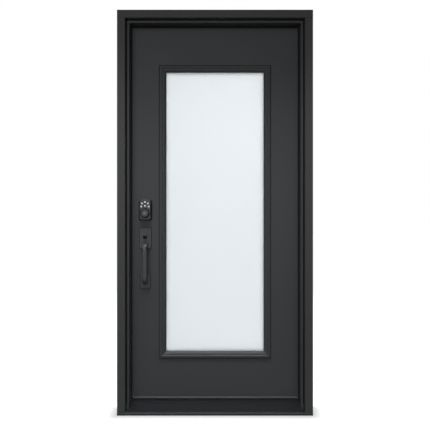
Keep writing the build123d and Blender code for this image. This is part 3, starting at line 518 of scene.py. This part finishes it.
@dataclass
class NodeModifier:
    """A Geometry Nodes tree with named sizes, run on one object and made a plain mesh."""

    name: str
    sizes: dict[str, float]
    material: Any
    crease_degrees: float = 35.0

    def build(self) -> Any:
        """Makes the tree, which sets the part on every point along its aim.

        Returns:
            The tree, ending as the export needs: real geometry with its material set.
        """
        tree = bpy.data.node_groups.new(self.name, "GeometryNodeTree")
        tree.interface.new_socket("Geometry", in_out="INPUT", socket_type="NodeSocketGeometry")
        for size in self.sizes:
            tree.interface.new_socket(size, in_out="INPUT", socket_type="NodeSocketFloat")
        tree.interface.new_socket("Geometry", in_out="OUTPUT", socket_type="NodeSocketGeometry")
        given = add_node(tree, "NodeGroupInput").outputs
        settings = {"data_type": "FLOAT_VECTOR", "Name": "aim"}
        aim = add_node(tree, "GeometryNodeInputNamedAttribute", settings).outputs["Attribute"]
        turn = add_node(tree, "FunctionNodeAlignRotationToVector", {"axis": "Z"}, {"Vector": aim})
        links = {
            "Points": given["Geometry"],
            "Instance": self.part(tree, given),
            "Rotation": turn.outputs["Rotation"],
        }
        placed = add_node(tree, "GeometryNodeInstanceOnPoints", links=links).outputs["Instances"]
        real = add_node(tree, "GeometryNodeRealizeInstances", links={"Geometry": placed})
        links = {"Geometry": real.outputs["Geometry"]}
        final = add_node(tree, "GeometryNodeSetMaterial", {"Material": self.material}, links)
        add_node(tree, "NodeGroupOutput", links={"Geometry": final.outputs["Geometry"]})
        return tree

    def part(self, tree: Any, size: Any) -> Any:
        """Makes the part that each point gets; each kind has its own.

        Args:
            tree: the tree.
            size: the sockets of the sizes, by name.

        Returns:
            The socket of the part's geometry, which looks along +Z.
        """
        raise NotImplementedError

    def vector(self, tree: Any, **sides: Any) -> Any:
        """Joins up to three sockets, named X, Y and Z, into one vector."""
        return add_node(tree, "ShaderNodeCombineXYZ", links=sides).outputs[0]

    def bar(self, tree: Any, **sides: Any) -> Any:
        """Makes a bar round the origin, with a socket for each side."""
        links = {"Size": self.vector(tree, **sides)}
        return add_node(tree, "GeometryNodeMeshCube", links=links).outputs["Mesh"]

    def raised(self, tree: Any, geometry: Any, length: Any, factor: float) -> Any:
        """Moves geometry along Z by a socket's length times a factor."""
        settings = {"operation": "MULTIPLY", 1: factor}
        way = add_node(tree, "ShaderNodeMath", settings, {0: length}).outputs[0]
        links = {"Geometry": geometry, "Translation": self.vector(tree, Z=way)}
        return add_node(tree, "GeometryNodeTransform", links=links).outputs["Geometry"]

    def circle(self, tree: Any, radius: Any, sides: int) -> Any:
        """Makes a circle with a socket for its radius."""
        settings, links = {"Resolution": sides}, {"Radius": radius}
        ring = add_node(tree, "GeometryNodeCurvePrimitiveCircle", settings, links)
        return ring.outputs["Curve"]

    def tube(self, tree: Any, path: Any, radius: Any) -> Any:
        """Sweeps a path with a small round section."""
        links = {"Curve": path, "Profile Curve": self.circle(tree, radius, SECTION_SIDES)}
        return add_node(tree, "GeometryNodeCurveToMesh", links=links).outputs["Mesh"]

    def run(self, spots: list[Spot], piece: str) -> Any:
        """Runs the tree on points and keeps the result as a plain mesh.

        Args:
            spots: each point with the direction that its part looks in.
            piece: the name of the new object.

        Returns:
            The new object.
        """
        points = bpy.data.meshes.new(piece + "_points")
        points.from_pydata([tuple(place) for place, _ in spots], [], [])
        aims = points.attributes.new("aim", "FLOAT_VECTOR", "POINT")
        for index, (_, aim) in enumerate(spots):
            aims.data[index].vector = aim
        source = bpy.data.objects.new(piece + "_source", points)
        bpy.context.scene.collection.objects.link(source)
        tree = self.build()
        modifier = source.modifiers.new(self.name, "NODES")
        modifier.node_group = tree
        for item in tree.interface.items_tree:
            if item.in_out == "INPUT" and item.name in self.sizes:
                modifier[item.identifier] = self.sizes[item.name]
        graph = bpy.context.evaluated_depsgraph_get()
        mesh = bpy.data.meshes.new_from_object(source.evaluated_get(graph))
        bpy.data.objects.remove(source)
        mesh.name = piece
        mesh.shade_smooth()
        mesh.set_sharp_from_angle(angle=math.radians(self.crease_degrees))
        made = bpy.data.objects.new(piece, mesh)
        bpy.context.scene.collection.objects.link(made)
        return made


@dataclass
class CrossScrew(NodeModifier):
    """Countersunk screws with a cross recess, one on each point."""

    head_sides: int = 32
    shank_sides: int = 16
    tip_radius: float = 0.3 * MM

    def part(self, tree: Any, size: Any) -> Any:
        """Makes a cone for the head, a cone for the shank, and cuts the recess out."""
        links = {
            "Radius Top": size["Head radius"],
            "Radius Bottom": size["Shank radius"],
            "Depth": size["Head height"],
        }
        head = add_node(tree, "GeometryNodeMeshCone", {"Vertices": self.head_sides}, links)
        links = {0: size["Length"], 1: size["Head height"]}
        below = add_node(tree, "ShaderNodeMath", {"operation": "SUBTRACT"}, links).outputs[0]
        settings = {"Vertices": self.shank_sides, "Radius Bottom": self.tip_radius}
        links = {"Radius Top": size["Shank radius"], "Depth": below}
        shank = add_node(tree, "GeometryNodeMeshCone", settings, links)
        bar = self.bar(
            tree, X=size["Recess length"], Y=size["Recess width"], Z=size["Recess depth"]
        )
        quarter = {"Rotation": (0.0, 0.0, math.pi / 2)}
        across = add_node(tree, "GeometryNodeTransform", quarter, {"Geometry": bar})
        links = {
            "Mesh 1": self.raised(tree, head.outputs["Mesh"], size["Head height"], -1.0),
            "Mesh 2": [bar, across.outputs["Geometry"]],
        }
        cut = add_node(tree, "GeometryNodeMeshBoolean", {"operation": "DIFFERENCE"}, links)
        body = self.raised(tree, shank.outputs["Mesh"], size["Length"], -1.0)
        links = {"Geometry": [cut.outputs["Mesh"], body]}
        return add_node(tree, "GeometryNodeJoinGeometry", links=links).outputs["Geometry"]


@dataclass
class Bezel(NodeModifier):
    """Round rings, one on each point: the buttons' beads and the black ring that paints the shade
    round the knob's waist.
    """

    ring_sides: int = 40

    def part(self, tree: Any, size: Any) -> Any:
        """Makes a circle swept with a small round section."""
        ring = self.circle(tree, size["Ring radius"], self.ring_sides)
        return self.tube(tree, ring, size["Bead radius"])


@dataclass
class Cord(NodeModifier):
    """A soft cord laid in a rounded rectangle, which seals the edge of a casting and paints a dark
    shade line round it.
    """

    corner_sides: int = 6

    def part(self, tree: Any, size: Any) -> Any:
        """Makes a rounded rectangle swept with a small round section."""
        links = {"Width": size["Width"], "Height": size["Height"]}
        outline = add_node(tree, "GeometryNodeCurvePrimitiveQuadrilateral", links=links)
        settings = {"mode": "POLY", "Count": self.corner_sides}
        links = {"Curve": outline.outputs["Curve"], "Radius": size["Corner radius"]}
        rounded = add_node(tree, "GeometryNodeFilletCurve", settings, links)
        return self.tube(tree, rounded.outputs["Curve"], size["Bead radius"])


@dataclass
class Strip(NodeModifier):
    """Flat strips of one size, one on each point, each running on from its point."""

    def part(self, tree: Any, size: Any) -> Any:
        """Makes a bar that starts at its point and runs along +Z."""
        bar = self.bar(tree, X=size["Width"], Y=size["Thickness"], Z=size["Length"])
        return self.raised(tree, bar, size["Length"], 0.5)


# Sub-assemblies


@dataclass
class SubAssembly:
    """A group of CAD pieces that are dressed together."""

    frame: dict
    finishes: dict[str, Any]

    def wear(self, finish: Finish, *nodes: str) -> None:
        """Dresses CAD pieces in one finish.

        Args:
            finish: what they wear.
            nodes: their names.
        """
        for name in nodes:
            dress(self.frame["nodes"][name], self.finishes[finish.name])
            LOG.info("%s wears %s", name, finish.name)

    def keep(self, piece: Any, body: Body, slot: Slot, *nodes: str) -> None:
        """Hangs an added piece on its body, and lets it stand for CAD nodes.

        Args:
            piece: the added object.
            body: what it moves with.
            slot: not used.
            nodes: the CAD nodes that it replaces, if any.
        """
        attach(piece, body.value)
        if nodes:
            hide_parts(*nodes)
        LOG.info("%s rides on %s with %d faces", piece.name, body.value, len(piece.data.polygons))

    def gasket_and_shade_line(
        self,
        casting: str,
        depth: float,
        corner: float,
        bead: float,
        foot: float = 0.0,
        crown: float = 0.0,
    ) -> None:
        """Lays the soft dead-black cord round a casting's edge: a seal that keeps rain from getting
        behind it, and a painted shade line round the casting.

        Args:
            casting: the CAD node that the cord seals.
            depth: how far the casting stands out from the slab.
            corner: the radius of its corners.
            bead: the cord's radius.
            foot: how far the cord stays above the casting's lowest point.
            crown: how far the cord stays below the casting's highest point.
        """
        low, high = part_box(casting)
        bottom, top = low.z + foot, high.z - crown
        sizes = {
            "Width": high.x - low.x + 2 * bead,
            "Height": top - bottom + 2 * bead,
            "Corner radius": corner + bead,
            "Bead radius": bead,
        }
        # Painted shade: the dead-black cord draws the dark outline that the casting's shade makes
        # round its edge.
        kit = Cord("gasket_and_shade_cord", sizes, self.finishes[SEAL_FOAM.name])
        centre = Vector(((low.x + high.x) / 2, low.y + depth - bead, (bottom + top) / 2))
        self.keep(kit.run([(centre, STREET)], casting + "_gasket"), Body.LEAF, Slot.FOAM)


@dataclass
class Screws(SubAssembly):
    """All the countersunk screws: in the hinges, strikes, faceplates, cap and inner lite frame.

    Attributes:
        hinge_spread: each screw's place on a hinge leaf, as shares of its width and height.
        plate_row: how far a plate's screws are from its middle, as a share of its height.
        cap_back: how far the cap's screws are behind the cap's middle.
        lite_inset: how far the lite's screws are from the inner frame's outer edge.
        lite_rows: how many screws each side of the lite has.
    """

    head_radius: float = 4.0 * MM
    head_height: float = 2.2 * MM
    shank_radius: float = 2.1 * MM
    length: float = 19.0 * MM
    recess_length: float = 4.6 * MM
    recess_width: float = 1.1 * MM
    recess_depth: float = 3.0 * MM
    hinge_spread: tuple[tuple[float, float], ...] = (
        (0.72, 0.38),
        (0.38, 0.13),
        (0.38, -0.13),
        (0.72, -0.38),
    )
    plate_row: float = 0.39
    cap_count: int = 4
    cap_back: float = 4.0 * MM
    lite_inset: float = 23.5 * MM
    lite_rows: int = 5

    def kit(self) -> CrossScrew:
        """Gives the Geometry Nodes tree that makes the screws."""
        sizes = {
            "Head radius": self.head_radius,
            "Head height": self.head_height,
            "Shank radius": self.shank_radius,
            "Length": self.length,
            "Recess length": self.recess_length,
            "Recess width": self.recess_width,
            "Recess depth": self.recess_depth,
        }
        return CrossScrew("cross_screws", sizes, self.finishes[STEEL.name])

    def hinge_spots(self, half: str, x: float, way: Vector) -> list[Spot]:
        """Finds the four screws of each hinge leaf of one kind.

        Args:
            half: "frame" or "door".
            x: the place of the leaf's flat face.
            way: the way that the heads look.

        Returns:
            Each head's place and the way that it looks.
        """
        pin_y = middle("hinge_pins").y
        spots = []
        for height in HINGE_HEIGHTS:
            low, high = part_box(f"hinge_{height}_{half}_leaf")
            wide, tall, centre = pin_y - low.y, high.z - low.z, (low.z + high.z) / 2
            for out, up in self.hinge_spread:
                spots.append((Vector((x, pin_y - wide * out, centre + up * tall)), way))
        return spots

    def plate_spots(self, nodes: tuple[str, str], x: float, way: Vector) -> list[Spot]:
        """Finds the two screws of each of two plates on an upright face.

        Args:
            nodes: the CAD pieces whose middles the plates share.
            x: the face's place.
            way: the way that the heads look.

        Returns:
            Each head's place and the way that it looks.
        """
        y = middle("deadbolt").y
        spots = []
        for node in nodes:
            low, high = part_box(node)
            centre, reach = (low.z + high.z) / 2, self.plate_row * (high.z - low.z)
            spots += [(Vector((x, y, centre + sign * reach)), way) for sign in (1, -1)]
        return spots

    def cap_spots(self) -> list[Spot]:
        """Finds the screws that set the threshold cap's height."""
        cap_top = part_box("threshold_cap")[1].z
        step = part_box("exterior_skin")[1].x * 2 / self.cap_count
        y = middle("threshold_cap").y + self.cap_back
        columns = [index - (self.cap_count - 1) / 2 for index in range(self.cap_count)]
        return [(Vector((column * step, y, cap_top)), UP) for column in columns]

    def lite_spots(self) -> list[Spot]:
        """Finds the screws in the ledge of the inner lite frame."""
        low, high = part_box("lite_frame_interior")
        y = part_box("leaf_screws")[1].y
        centre, tall = (low.z + high.z) / 2, high.z - low.z
        side, end = high.x - self.lite_inset, tall / 2 - self.lite_inset
        step = tall / self.lite_rows
        rows = [index - self.lite_rows // 2 for index in range(self.lite_rows)]
        places = [(sign * side, centre + row * step) for sign in (1, -1) for row in rows]
        places += [(0.0, centre + sign * end) for sign in (1, -1)]
        return [(Vector((x, y, z)), HOUSE) for x, z in places]

    def build(self) -> None:
        """Makes both groups of screws, each for the body that it is driven into."""
        slab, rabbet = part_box("exterior_skin")[1].x, -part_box("latch_strike")[1].x
        fixed = self.hinge_spots("frame", rabbet, LEFT) + self.cap_spots()
        fixed += self.plate_spots(("latch_strike", "deadbolt_strike"), -rabbet, RIGHT)
        moving = self.hinge_spots("door", slab, RIGHT) + self.lite_spots()
        moving += self.plate_spots(("latch_case", "deadbolt_case"), -slab, LEFT)
        frame_screws = self.kit().run(fixed, "frame_cross_screws")
        self.keep(frame_screws, Body.FRAME, Slot.STEEL, "frame_screws")
        leaf_screws = self.kit().run(moving, "leaf_cross_screws")
        self.keep(leaf_screws, Body.LEAF, Slot.STEEL, "leaf_screws")


@dataclass
class DoorFrame(SubAssembly):
    """Jambs, brickmould, strikes and the hinges' fixed halves.

    Attributes:
        groove: how wide the groove between the brickmould and the doorway is.
        groove_depth: how far its bottom lies behind the jambs' front edges.
        shade_sealant: how thick the sealant in it is; its dead black also paints the groove's
            bottom darker, as painted shade.
        shade_sealant_foot: how high above the sill's underside the sealant starts.
    """

    groove: float = 6.5 * MM
    groove_depth: float = 7.0 * MM
    shade_sealant: float = 1.2 * MM
    shade_sealant_foot: float = 50.0 * MM

    def shade_sealant_strip(self, length: float, spots: list[Spot], piece: str) -> None:
        """Lays lengths of the dark sealant at the bottom of the groove, whose dead black also
        paints shade there.

        Args:
            length: how long each one is.
            spots: where each one starts, and the way that it runs.
            piece: the name of the new object.
        """
        sizes = {"Width": self.groove, "Thickness": self.shade_sealant, "Length": length}
        kit = Strip("groove_shade_sealant", sizes, self.finishes[SEAL_FOAM.name])
        self.keep(kit.run(spots, piece), Body.FRAME, Slot.FOAM)

    def build(self) -> None:
        """Dresses the frame and adds the dark sealant in the groove round the doorway, which also
        paints the groove's shade.
        """
        self.wear(FRAME_PAINT, "strike_jamb", "hinge_jamb", "head_jamb")
        self.wear(FRAME_PAINT, "brickmould_left", "brickmould_right", "brickmould_head")
        self.wear(STEEL, "latch_strike", "deadbolt_strike", "hinge_pins")
        self.wear(STEEL, *(f"hinge_{height}_frame_leaf" for height in HINGE_HEIGHTS))
        left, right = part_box("brickmould_left")[1].x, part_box("brickmould_right")[0].x
        top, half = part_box("brickmould_head")[0].z, self.groove / 2
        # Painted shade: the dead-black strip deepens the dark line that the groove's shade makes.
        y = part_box("strike_jamb")[0].y + self.groove_depth - self.shade_sealant / 2
        sides = [(Vector((x, y, self.shade_sealant_foot)), UP) for x in (left + half, right - half)]
        head = [(Vector((left + self.groove, y, top - half)), RIGHT)]
        self.shade_sealant_strip(top - self.shade_sealant_foot, sides, "side_groove_sealant")
        self.shade_sealant_strip(right - left - 2 * self.groove, head, "head_groove_sealant")


@dataclass
class Sill(SubAssembly):
    """The sloped deck, its block, the cap and the seals that close the doorway."""

    def build(self) -> None:
        """Dresses the sill and the seals."""
        self.wear(SILL_METAL, "sill_deck")
        self.wear(SILL_BLOCK, "sill_substrate")
        self.wear(CAP_PLASTIC, "threshold_cap")
        self.wear(SEAL_FOAM, "weatherstrip_strike_side", "weatherstrip_hinge_side")
        self.wear(SEAL_FOAM, "weatherstrip_head", "corner_pads")


@dataclass
class Slab(SubAssembly):
    """The insulated door: two steel skins over boards and foam, with its hinge leaves."""

    def build(self) -> None:
        """Dresses the slab."""
        self.wear(SKIN_PAINT, "exterior_skin", "interior_skin")
        self.wear(EDGE_BOARD, "hinge_stile", "lock_stile", "top_rail")
        self.wear(BARE_BOARD, "bottom_rail", "lock_block")
        self.wear(CORE_FOAM, "foam_core")
        self.wear(SWEEP_VINYL, "door_sweep")
        self.wear(STEEL, *(f"hinge_{height}_door_leaf" for height in HINGE_HEIGHTS))


@dataclass
class Lite(SubAssembly):
    """The tall window: two moulded frames round a sealed unit."""

    def build(self) -> None:
        """Dresses the lite."""
        self.wear(LITE_PLASTIC, "lite_frame_exterior", "lite_frame_interior")
        self.wear(FROSTED_GLASS, "outer_glass")
        self.wear(CLEAR_GLASS, "inner_glass")
        self.wear(SPACER_METAL, "glass_spacer")


@dataclass
class KeypadLock(SubAssembly):
    """The lit keypad, its turn knob and key plug, the bolt and the inside turn.

    Attributes:
        bezel_radius: the radius of the bead round each button.
        bezel_bead: how thick that bead is, as a radius.
        shade_ring_radius: the radius of the dead-black ring round the knob's waist, which paints
            the shade in the well round the knob.
        shade_ring_bead: how thick that ring is, as a radius.
        housing_depth: how far the housing stands out from the slab.
        housing_corner: the radius of its corners.
        housing_bow: how far its foot bows down below its straight sides.
        housing_arch: how far its top rises over them.
        shade_cord_radius: the radius of the cord round it, a seal that also paints a shade line
            round its sides and foot.
    """

    button_count: int = 6
    bezel_radius: float = 5.2 * MM
    bezel_bead: float = 0.35 * MM
    shade_ring_radius: float = 20.6 * MM
    shade_ring_bead: float = 3.4 * MM
    housing_depth: float = 28.0 * MM
    housing_corner: float = 8.0 * MM
    housing_bow: float = 5.0 * MM
    housing_arch: float = 10.4 * MM
    shade_cord_radius: float = 1.7 * MM

    def rings(self, radius: float, bead: float, finish: Finish) -> Bezel:
        """Gives the Geometry Nodes tree for rings of one size."""
        sizes = {"Ring radius": radius, "Bead radius": bead}
        return Bezel("round_rings", sizes, self.finishes[finish.name])

    def on_face(self, node: str, back: float = 0.0) -> Spot:
        """Gives the spot in front of a CAD piece's middle, level with the housing's front face.

        Args:
            node: the CAD piece.
            back: how far behind that face the spot is.
        """
        centre = middle(node)
        centre.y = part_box("keypad_housing")[0].y + back
        return centre, STREET

    def build(self) -> None:
        """Dresses the lock and adds the beads, a black ring that paints the shade round the knob,
        and the cord round the housing, a seal that also paints a shade line.
        """
        buttons = [f"button_{index + 1}" for index in range(self.button_count)]
        self.wear(DARK_CAST, "keypad_housing", "turn_knob", "lock_inside_cover", "thumbturn")
        self.wear(PLUG_METAL, "key_plug")
        self.wear(STEEL, "deadbolt", "deadbolt_case", "lock_bolts")
        self.wear(BUTTON_LENS, *buttons)
        beads = self.rings(self.bezel_radius, self.bezel_bead, DARK_CAST)
        spots = [self.on_face(button) for button in buttons]
        self.keep(beads.run(spots, "keypad_button_beads"), Body.LEAF, Slot.DARK)
        # Painted shade: a dead-black ring round the knob's waist darkens the well as its shadow
        # would.
        ring = self.rings(self.shade_ring_radius, self.shade_ring_bead, SEAL_FOAM)
        spots = [self.on_face("turn_knob", self.shade_ring_bead)]
        self.keep(ring.run(spots, "knob_dust_ring"), Body.LEAF, Slot.FOAM)
        self.gasket_and_shade_line(
            "keypad_housing",
            self.housing_depth,
            self.housing_corner,
            self.shade_cord_radius,
            foot=self.housing_bow,
            crown=self.housing_arch,
        )


@dataclass
class HandleSet(SubAssembly):
    """The grip on its two plates, the thumb piece, the latch and the inside knob."""

    plate_depth: float = 8.0 * MM
    plate_corner: float = 4.0 * MM
    shade_cord_radius: float = 0.9 * MM

    def build(self) -> None:
        """Dresses the handleset and adds the cords round its plates, seals that also paint a shade
        line round each.
        """
        self.wear(DARK_CAST, "handle_upper_plate", "handle_lower_plate", "handle_grip")
        self.wear(DARK_CAST, "thumb_piece", "inside_rose", "inside_knob")
        self.wear(STEEL, "latch_bolt", "latch_case")
        # Painted shade: each plate's dead-black cord darkens its edge where the plate's shadow
        # falls.
        for plate in ("handle_upper_plate", "handle_lower_plate"):
            self.gasket_and_shade_line(plate, self.plate_depth, self.plate_corner, self.shade_cord_radius)


# Studio


@dataclass
class Lamp:
    """One soft box.

    Attributes:
        name: what it is called.
        place: where it hangs.
        aim: the point that it looks at.
        size: its width and height.
        watts: its power.
        beam: the angle that its grid lets light out in, in degrees; 180 is no grid.
        screened: whether the camera and the glass see past it.
    """

    name: str
    place: tuple[float, float, float]
    aim: tuple[float, float, float]
    size: tuple[float, float]
    watts: float
    beam: float = 180.0
    screened: bool = False

    def build(self) -> None:
        """Hangs the lamp."""
        data = bpy.data.lights.new(self.name, "AREA")
        data.shape = "RECTANGLE"
        data.size, data.size_y = self.size
        data.energy = self.watts
        data.spread = math.radians(self.beam)
        lamp = bpy.data.objects.new(self.name, data)
        lamp.location = self.place
        aim = Vector(self.aim) - Vector(self.place)
        lamp.rotation_euler = aim.to_track_quat("-Z", "Y").to_euler()
        lamp.visible_camera = lamp.visible_transmission = not self.screened
        bpy.context.scene.collection.objects.link(lamp)


# The studio's large soft light, from the left and above.
FRONT_BOX = Lamp("front_box", (-1.2, -6.5, 2.4), (0.0, 0.0, 1.1), (4.0, 3.0), 139.0)
# Two narrow lights that graze the door from above and fade towards its foot.
GRIDDED_STRIP = Lamp(
    "gridded_strip", (-0.35, -1.0, 2.6), (-0.35, 0.0, 0.4), (2.6, 0.3), 6.3, beam=55.0
)
GRAZING_STRIP = Lamp(
    "grazing_strip", (-0.35, -0.6, 2.6), (-0.35, 0.0, 0.2), (2.6, 0.2), 3.6, beam=50.0
)
# The light in the house, which the frosted pane glows with.
ROOM_BOX = Lamp("room_box", (1.6, 4.0, 3.0), (0.0, 0.1, 1.0), (2.5, 1.5), 160.0, screened=True)


@dataclass
class Studio:
    """The plain white room, its lamps and the camera.

    Attributes:
        eye: the camera's place; it looks level along +Y.
        focal_px: its focal length in pixels of the image.
        sensor_mm: how wide its sensor is.
        view_reach: how far it sees.
        floor_reach: how far the floor goes each way.
        floor_drop: how far it lies below the object's foot.
        floor_colour: its paper.
        footprint_middle: the middle of the box that the object stands in.
        footprint_half: half of that box along each axis.
        painted_shadow_reach: how wide the painted shadow band round the box is.
        painted_shadow_lift: how white the floor is under the object, where the lower lift paints a
            shadow.
        sky: how strongly the white background lights the object.
    """

    eye: tuple[float, float, float] = (0.0, -3.482, 1.0296)
    focal_px: float = 672.0
    sensor_mm: float = 36.0
    view_reach: float = 100.0
    floor_reach: float = 30.0
    floor_drop: float = 0.5 * MM
    floor_colour: str = "#959595"
    footprint_middle: tuple[float, float, float] = (0.0, 0.026, 0.0)
    footprint_half: tuple[float, float, float] = (0.5, 0.06, 1.0)
    painted_shadow_reach: float = 0.1
    painted_shadow_lift: float = 0.42
    sky: float = 0.015
    lamps: tuple[Lamp, ...] = (FRONT_BOX, GRIDDED_STRIP, GRAZING_STRIP, ROOM_BOX)

    def seen(self, tree: Any) -> Any:
        """Gives 1 for rays that show the background itself, and 0 for those that light with it."""
        rays = add_node(tree, "ShaderNodeLightPath").outputs
        either = rays["Is Camera Ray"]
        for kind in ("Is Glossy Ray", "Is Transmission Ray"):
            links = {0: either, 1: rays[kind]}
            either = add_node(tree, "ShaderNodeMath", {"operation": "MAXIMUM"}, links).outputs[0]
        return either

    def build_world(self) -> None:
        """Makes the sky: white where it is seen, and a dim even light elsewhere."""
        world = bpy.data.worlds.new("studio_sky")
        world.use_nodes = True
        tree = world.node_tree
        tree.nodes.clear()
        settings = {"To Min": self.sky, "To Max": 1.0}
        strength = add_node(tree, "ShaderNodeMapRange", settings, {"Value": self.seen(tree)})
        links = {"Strength": strength.outputs["Result"]}
        sky = add_node(tree, "ShaderNodeBackground", {"Color": WHITE}, links)
        add_node(tree, "ShaderNodeOutputWorld", links={"Surface": sky.outputs["Background"]})
        bpy.context.scene.world = world

    def lift_with_painted_shadow(self, tree: Any) -> Any:
        """Gives the floor's lift to white, which is whole beyond a narrow band round the object and
        lower inside it: a painted shadow round the object's foot.
        """
        spot = add_node(tree, "ShaderNodeTexCoord").outputs["Object"]
        steps = (
            ("SUBTRACT", {1: self.footprint_middle}),
            ("ABSOLUTE", {}),
            ("SUBTRACT", {1: self.footprint_half}),
            ("MAXIMUM", {1: (0.0, 0.0, 0.0)}),
        )
        for operation, operand in steps:
            settings = {"operation": operation, **operand}
            spot = add_node(tree, "ShaderNodeVectorMath", settings, {0: spot}).outputs[0]
        distance = add_node(tree, "ShaderNodeVectorMath", {"operation": "LENGTH"}, {0: spot})
        # Painted shadow: the lift falls towards the object's foot, so the floor there darkens
        # whatever light reaches it.
        settings = {
            "interpolation_type": "SMOOTHSTEP",
            "From Max": self.painted_shadow_reach,
            "To Min": self.painted_shadow_lift,
        }
        links = {"Value": distance.outputs["Value"]}
        return add_node(tree, "ShaderNodeMapRange", settings, links).outputs["Result"]

    def paper(self) -> Any:
        """Makes the floor's material, which reads as white, keeps the object's real shadow, and
        adds a painted shadow band round its foot.
        """
        material = bpy.data.materials.new("studio_floor_paper")
        material.use_nodes = True
        tree = material.node_tree
        tree.nodes.clear()
        colour = {"Color": linear(self.floor_colour)}
        paper = add_node(tree, "ShaderNodeBsdfDiffuse", colour).outputs["BSDF"]
        links = {0: self.seen(tree), 1: self.lift_with_painted_shadow(tree)}
        lift = add_node(tree, "ShaderNodeMath", {"operation": "MULTIPLY"}, links).outputs[0]
        glow = add_node(tree, "ShaderNodeEmission", {"Color": WHITE}, {"Strength": lift})
        links = {0: paper, 1: glow.outputs["Emission"]}
        both = add_node(tree, "ShaderNodeAddShader", links=links).outputs["Shader"]
        add_node(tree, "ShaderNodeOutputMaterial", links={"Surface": both})
        return material

    def build_floor(self) -> None:
        """Lays the floor."""
        reach = self.floor_reach
        corners = [(-reach, -reach, 0), (reach, -reach, 0), (reach, reach, 0), (-reach, reach, 0)]
        mesh = bpy.data.meshes.new("studio_floor")
        mesh.from_pydata(corners, [], [(0, 1, 2, 3)])
        floor = bpy.data.objects.new("studio_floor", mesh)
        floor.location = (0.0, 0.0, -self.floor_drop)
        bpy.context.scene.collection.objects.link(floor)
        dress(floor, self.paper())

    def build_camera(self) -> None:
        """Sets the camera level and square on, at the photograph's distance and height."""
        data = bpy.data.cameras.new("camera")
        data.sensor_fit = "HORIZONTAL"
        data.sensor_width = self.sensor_mm
        data.lens = self.focal_px / IMAGE_SIDE * self.sensor_mm
        data.clip_end = self.view_reach
        camera = bpy.data.objects.new("camera", data)
        camera.location = self.eye
        camera.rotation_euler = (math.pi / 2, 0.0, 0.0)
        bpy.context.scene.collection.objects.link(camera)
        bpy.context.scene.camera = camera

    def build(self) -> None:
        """Sets up the room."""
        bpy.context.scene.view_settings.view_transform = "Standard"
        self.build_world()
        self.build_floor()
        for lamp in self.lamps:
            lamp.build()
        self.build_camera()


SUB_ASSEMBLIES = (DoorFrame, Sill, Slab, Lite, KeypadLock, HandleSet, Screws)


def main() -> None:
    """Loads the frame, dresses it, adds the small parts and sets up the studio."""
    logging.basicConfig(level=logging.INFO, format="%(message)s")
    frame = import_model()
    finishes = {finish.name: finish.build() for finish in ALL_FINISHES}
    for kind in SUB_ASSEMBLIES:
        LOG.info("building %s", kind.__name__)
        kind(frame, finishes).build()
    Studio().build()


if __name__ == "__main__":
    main()
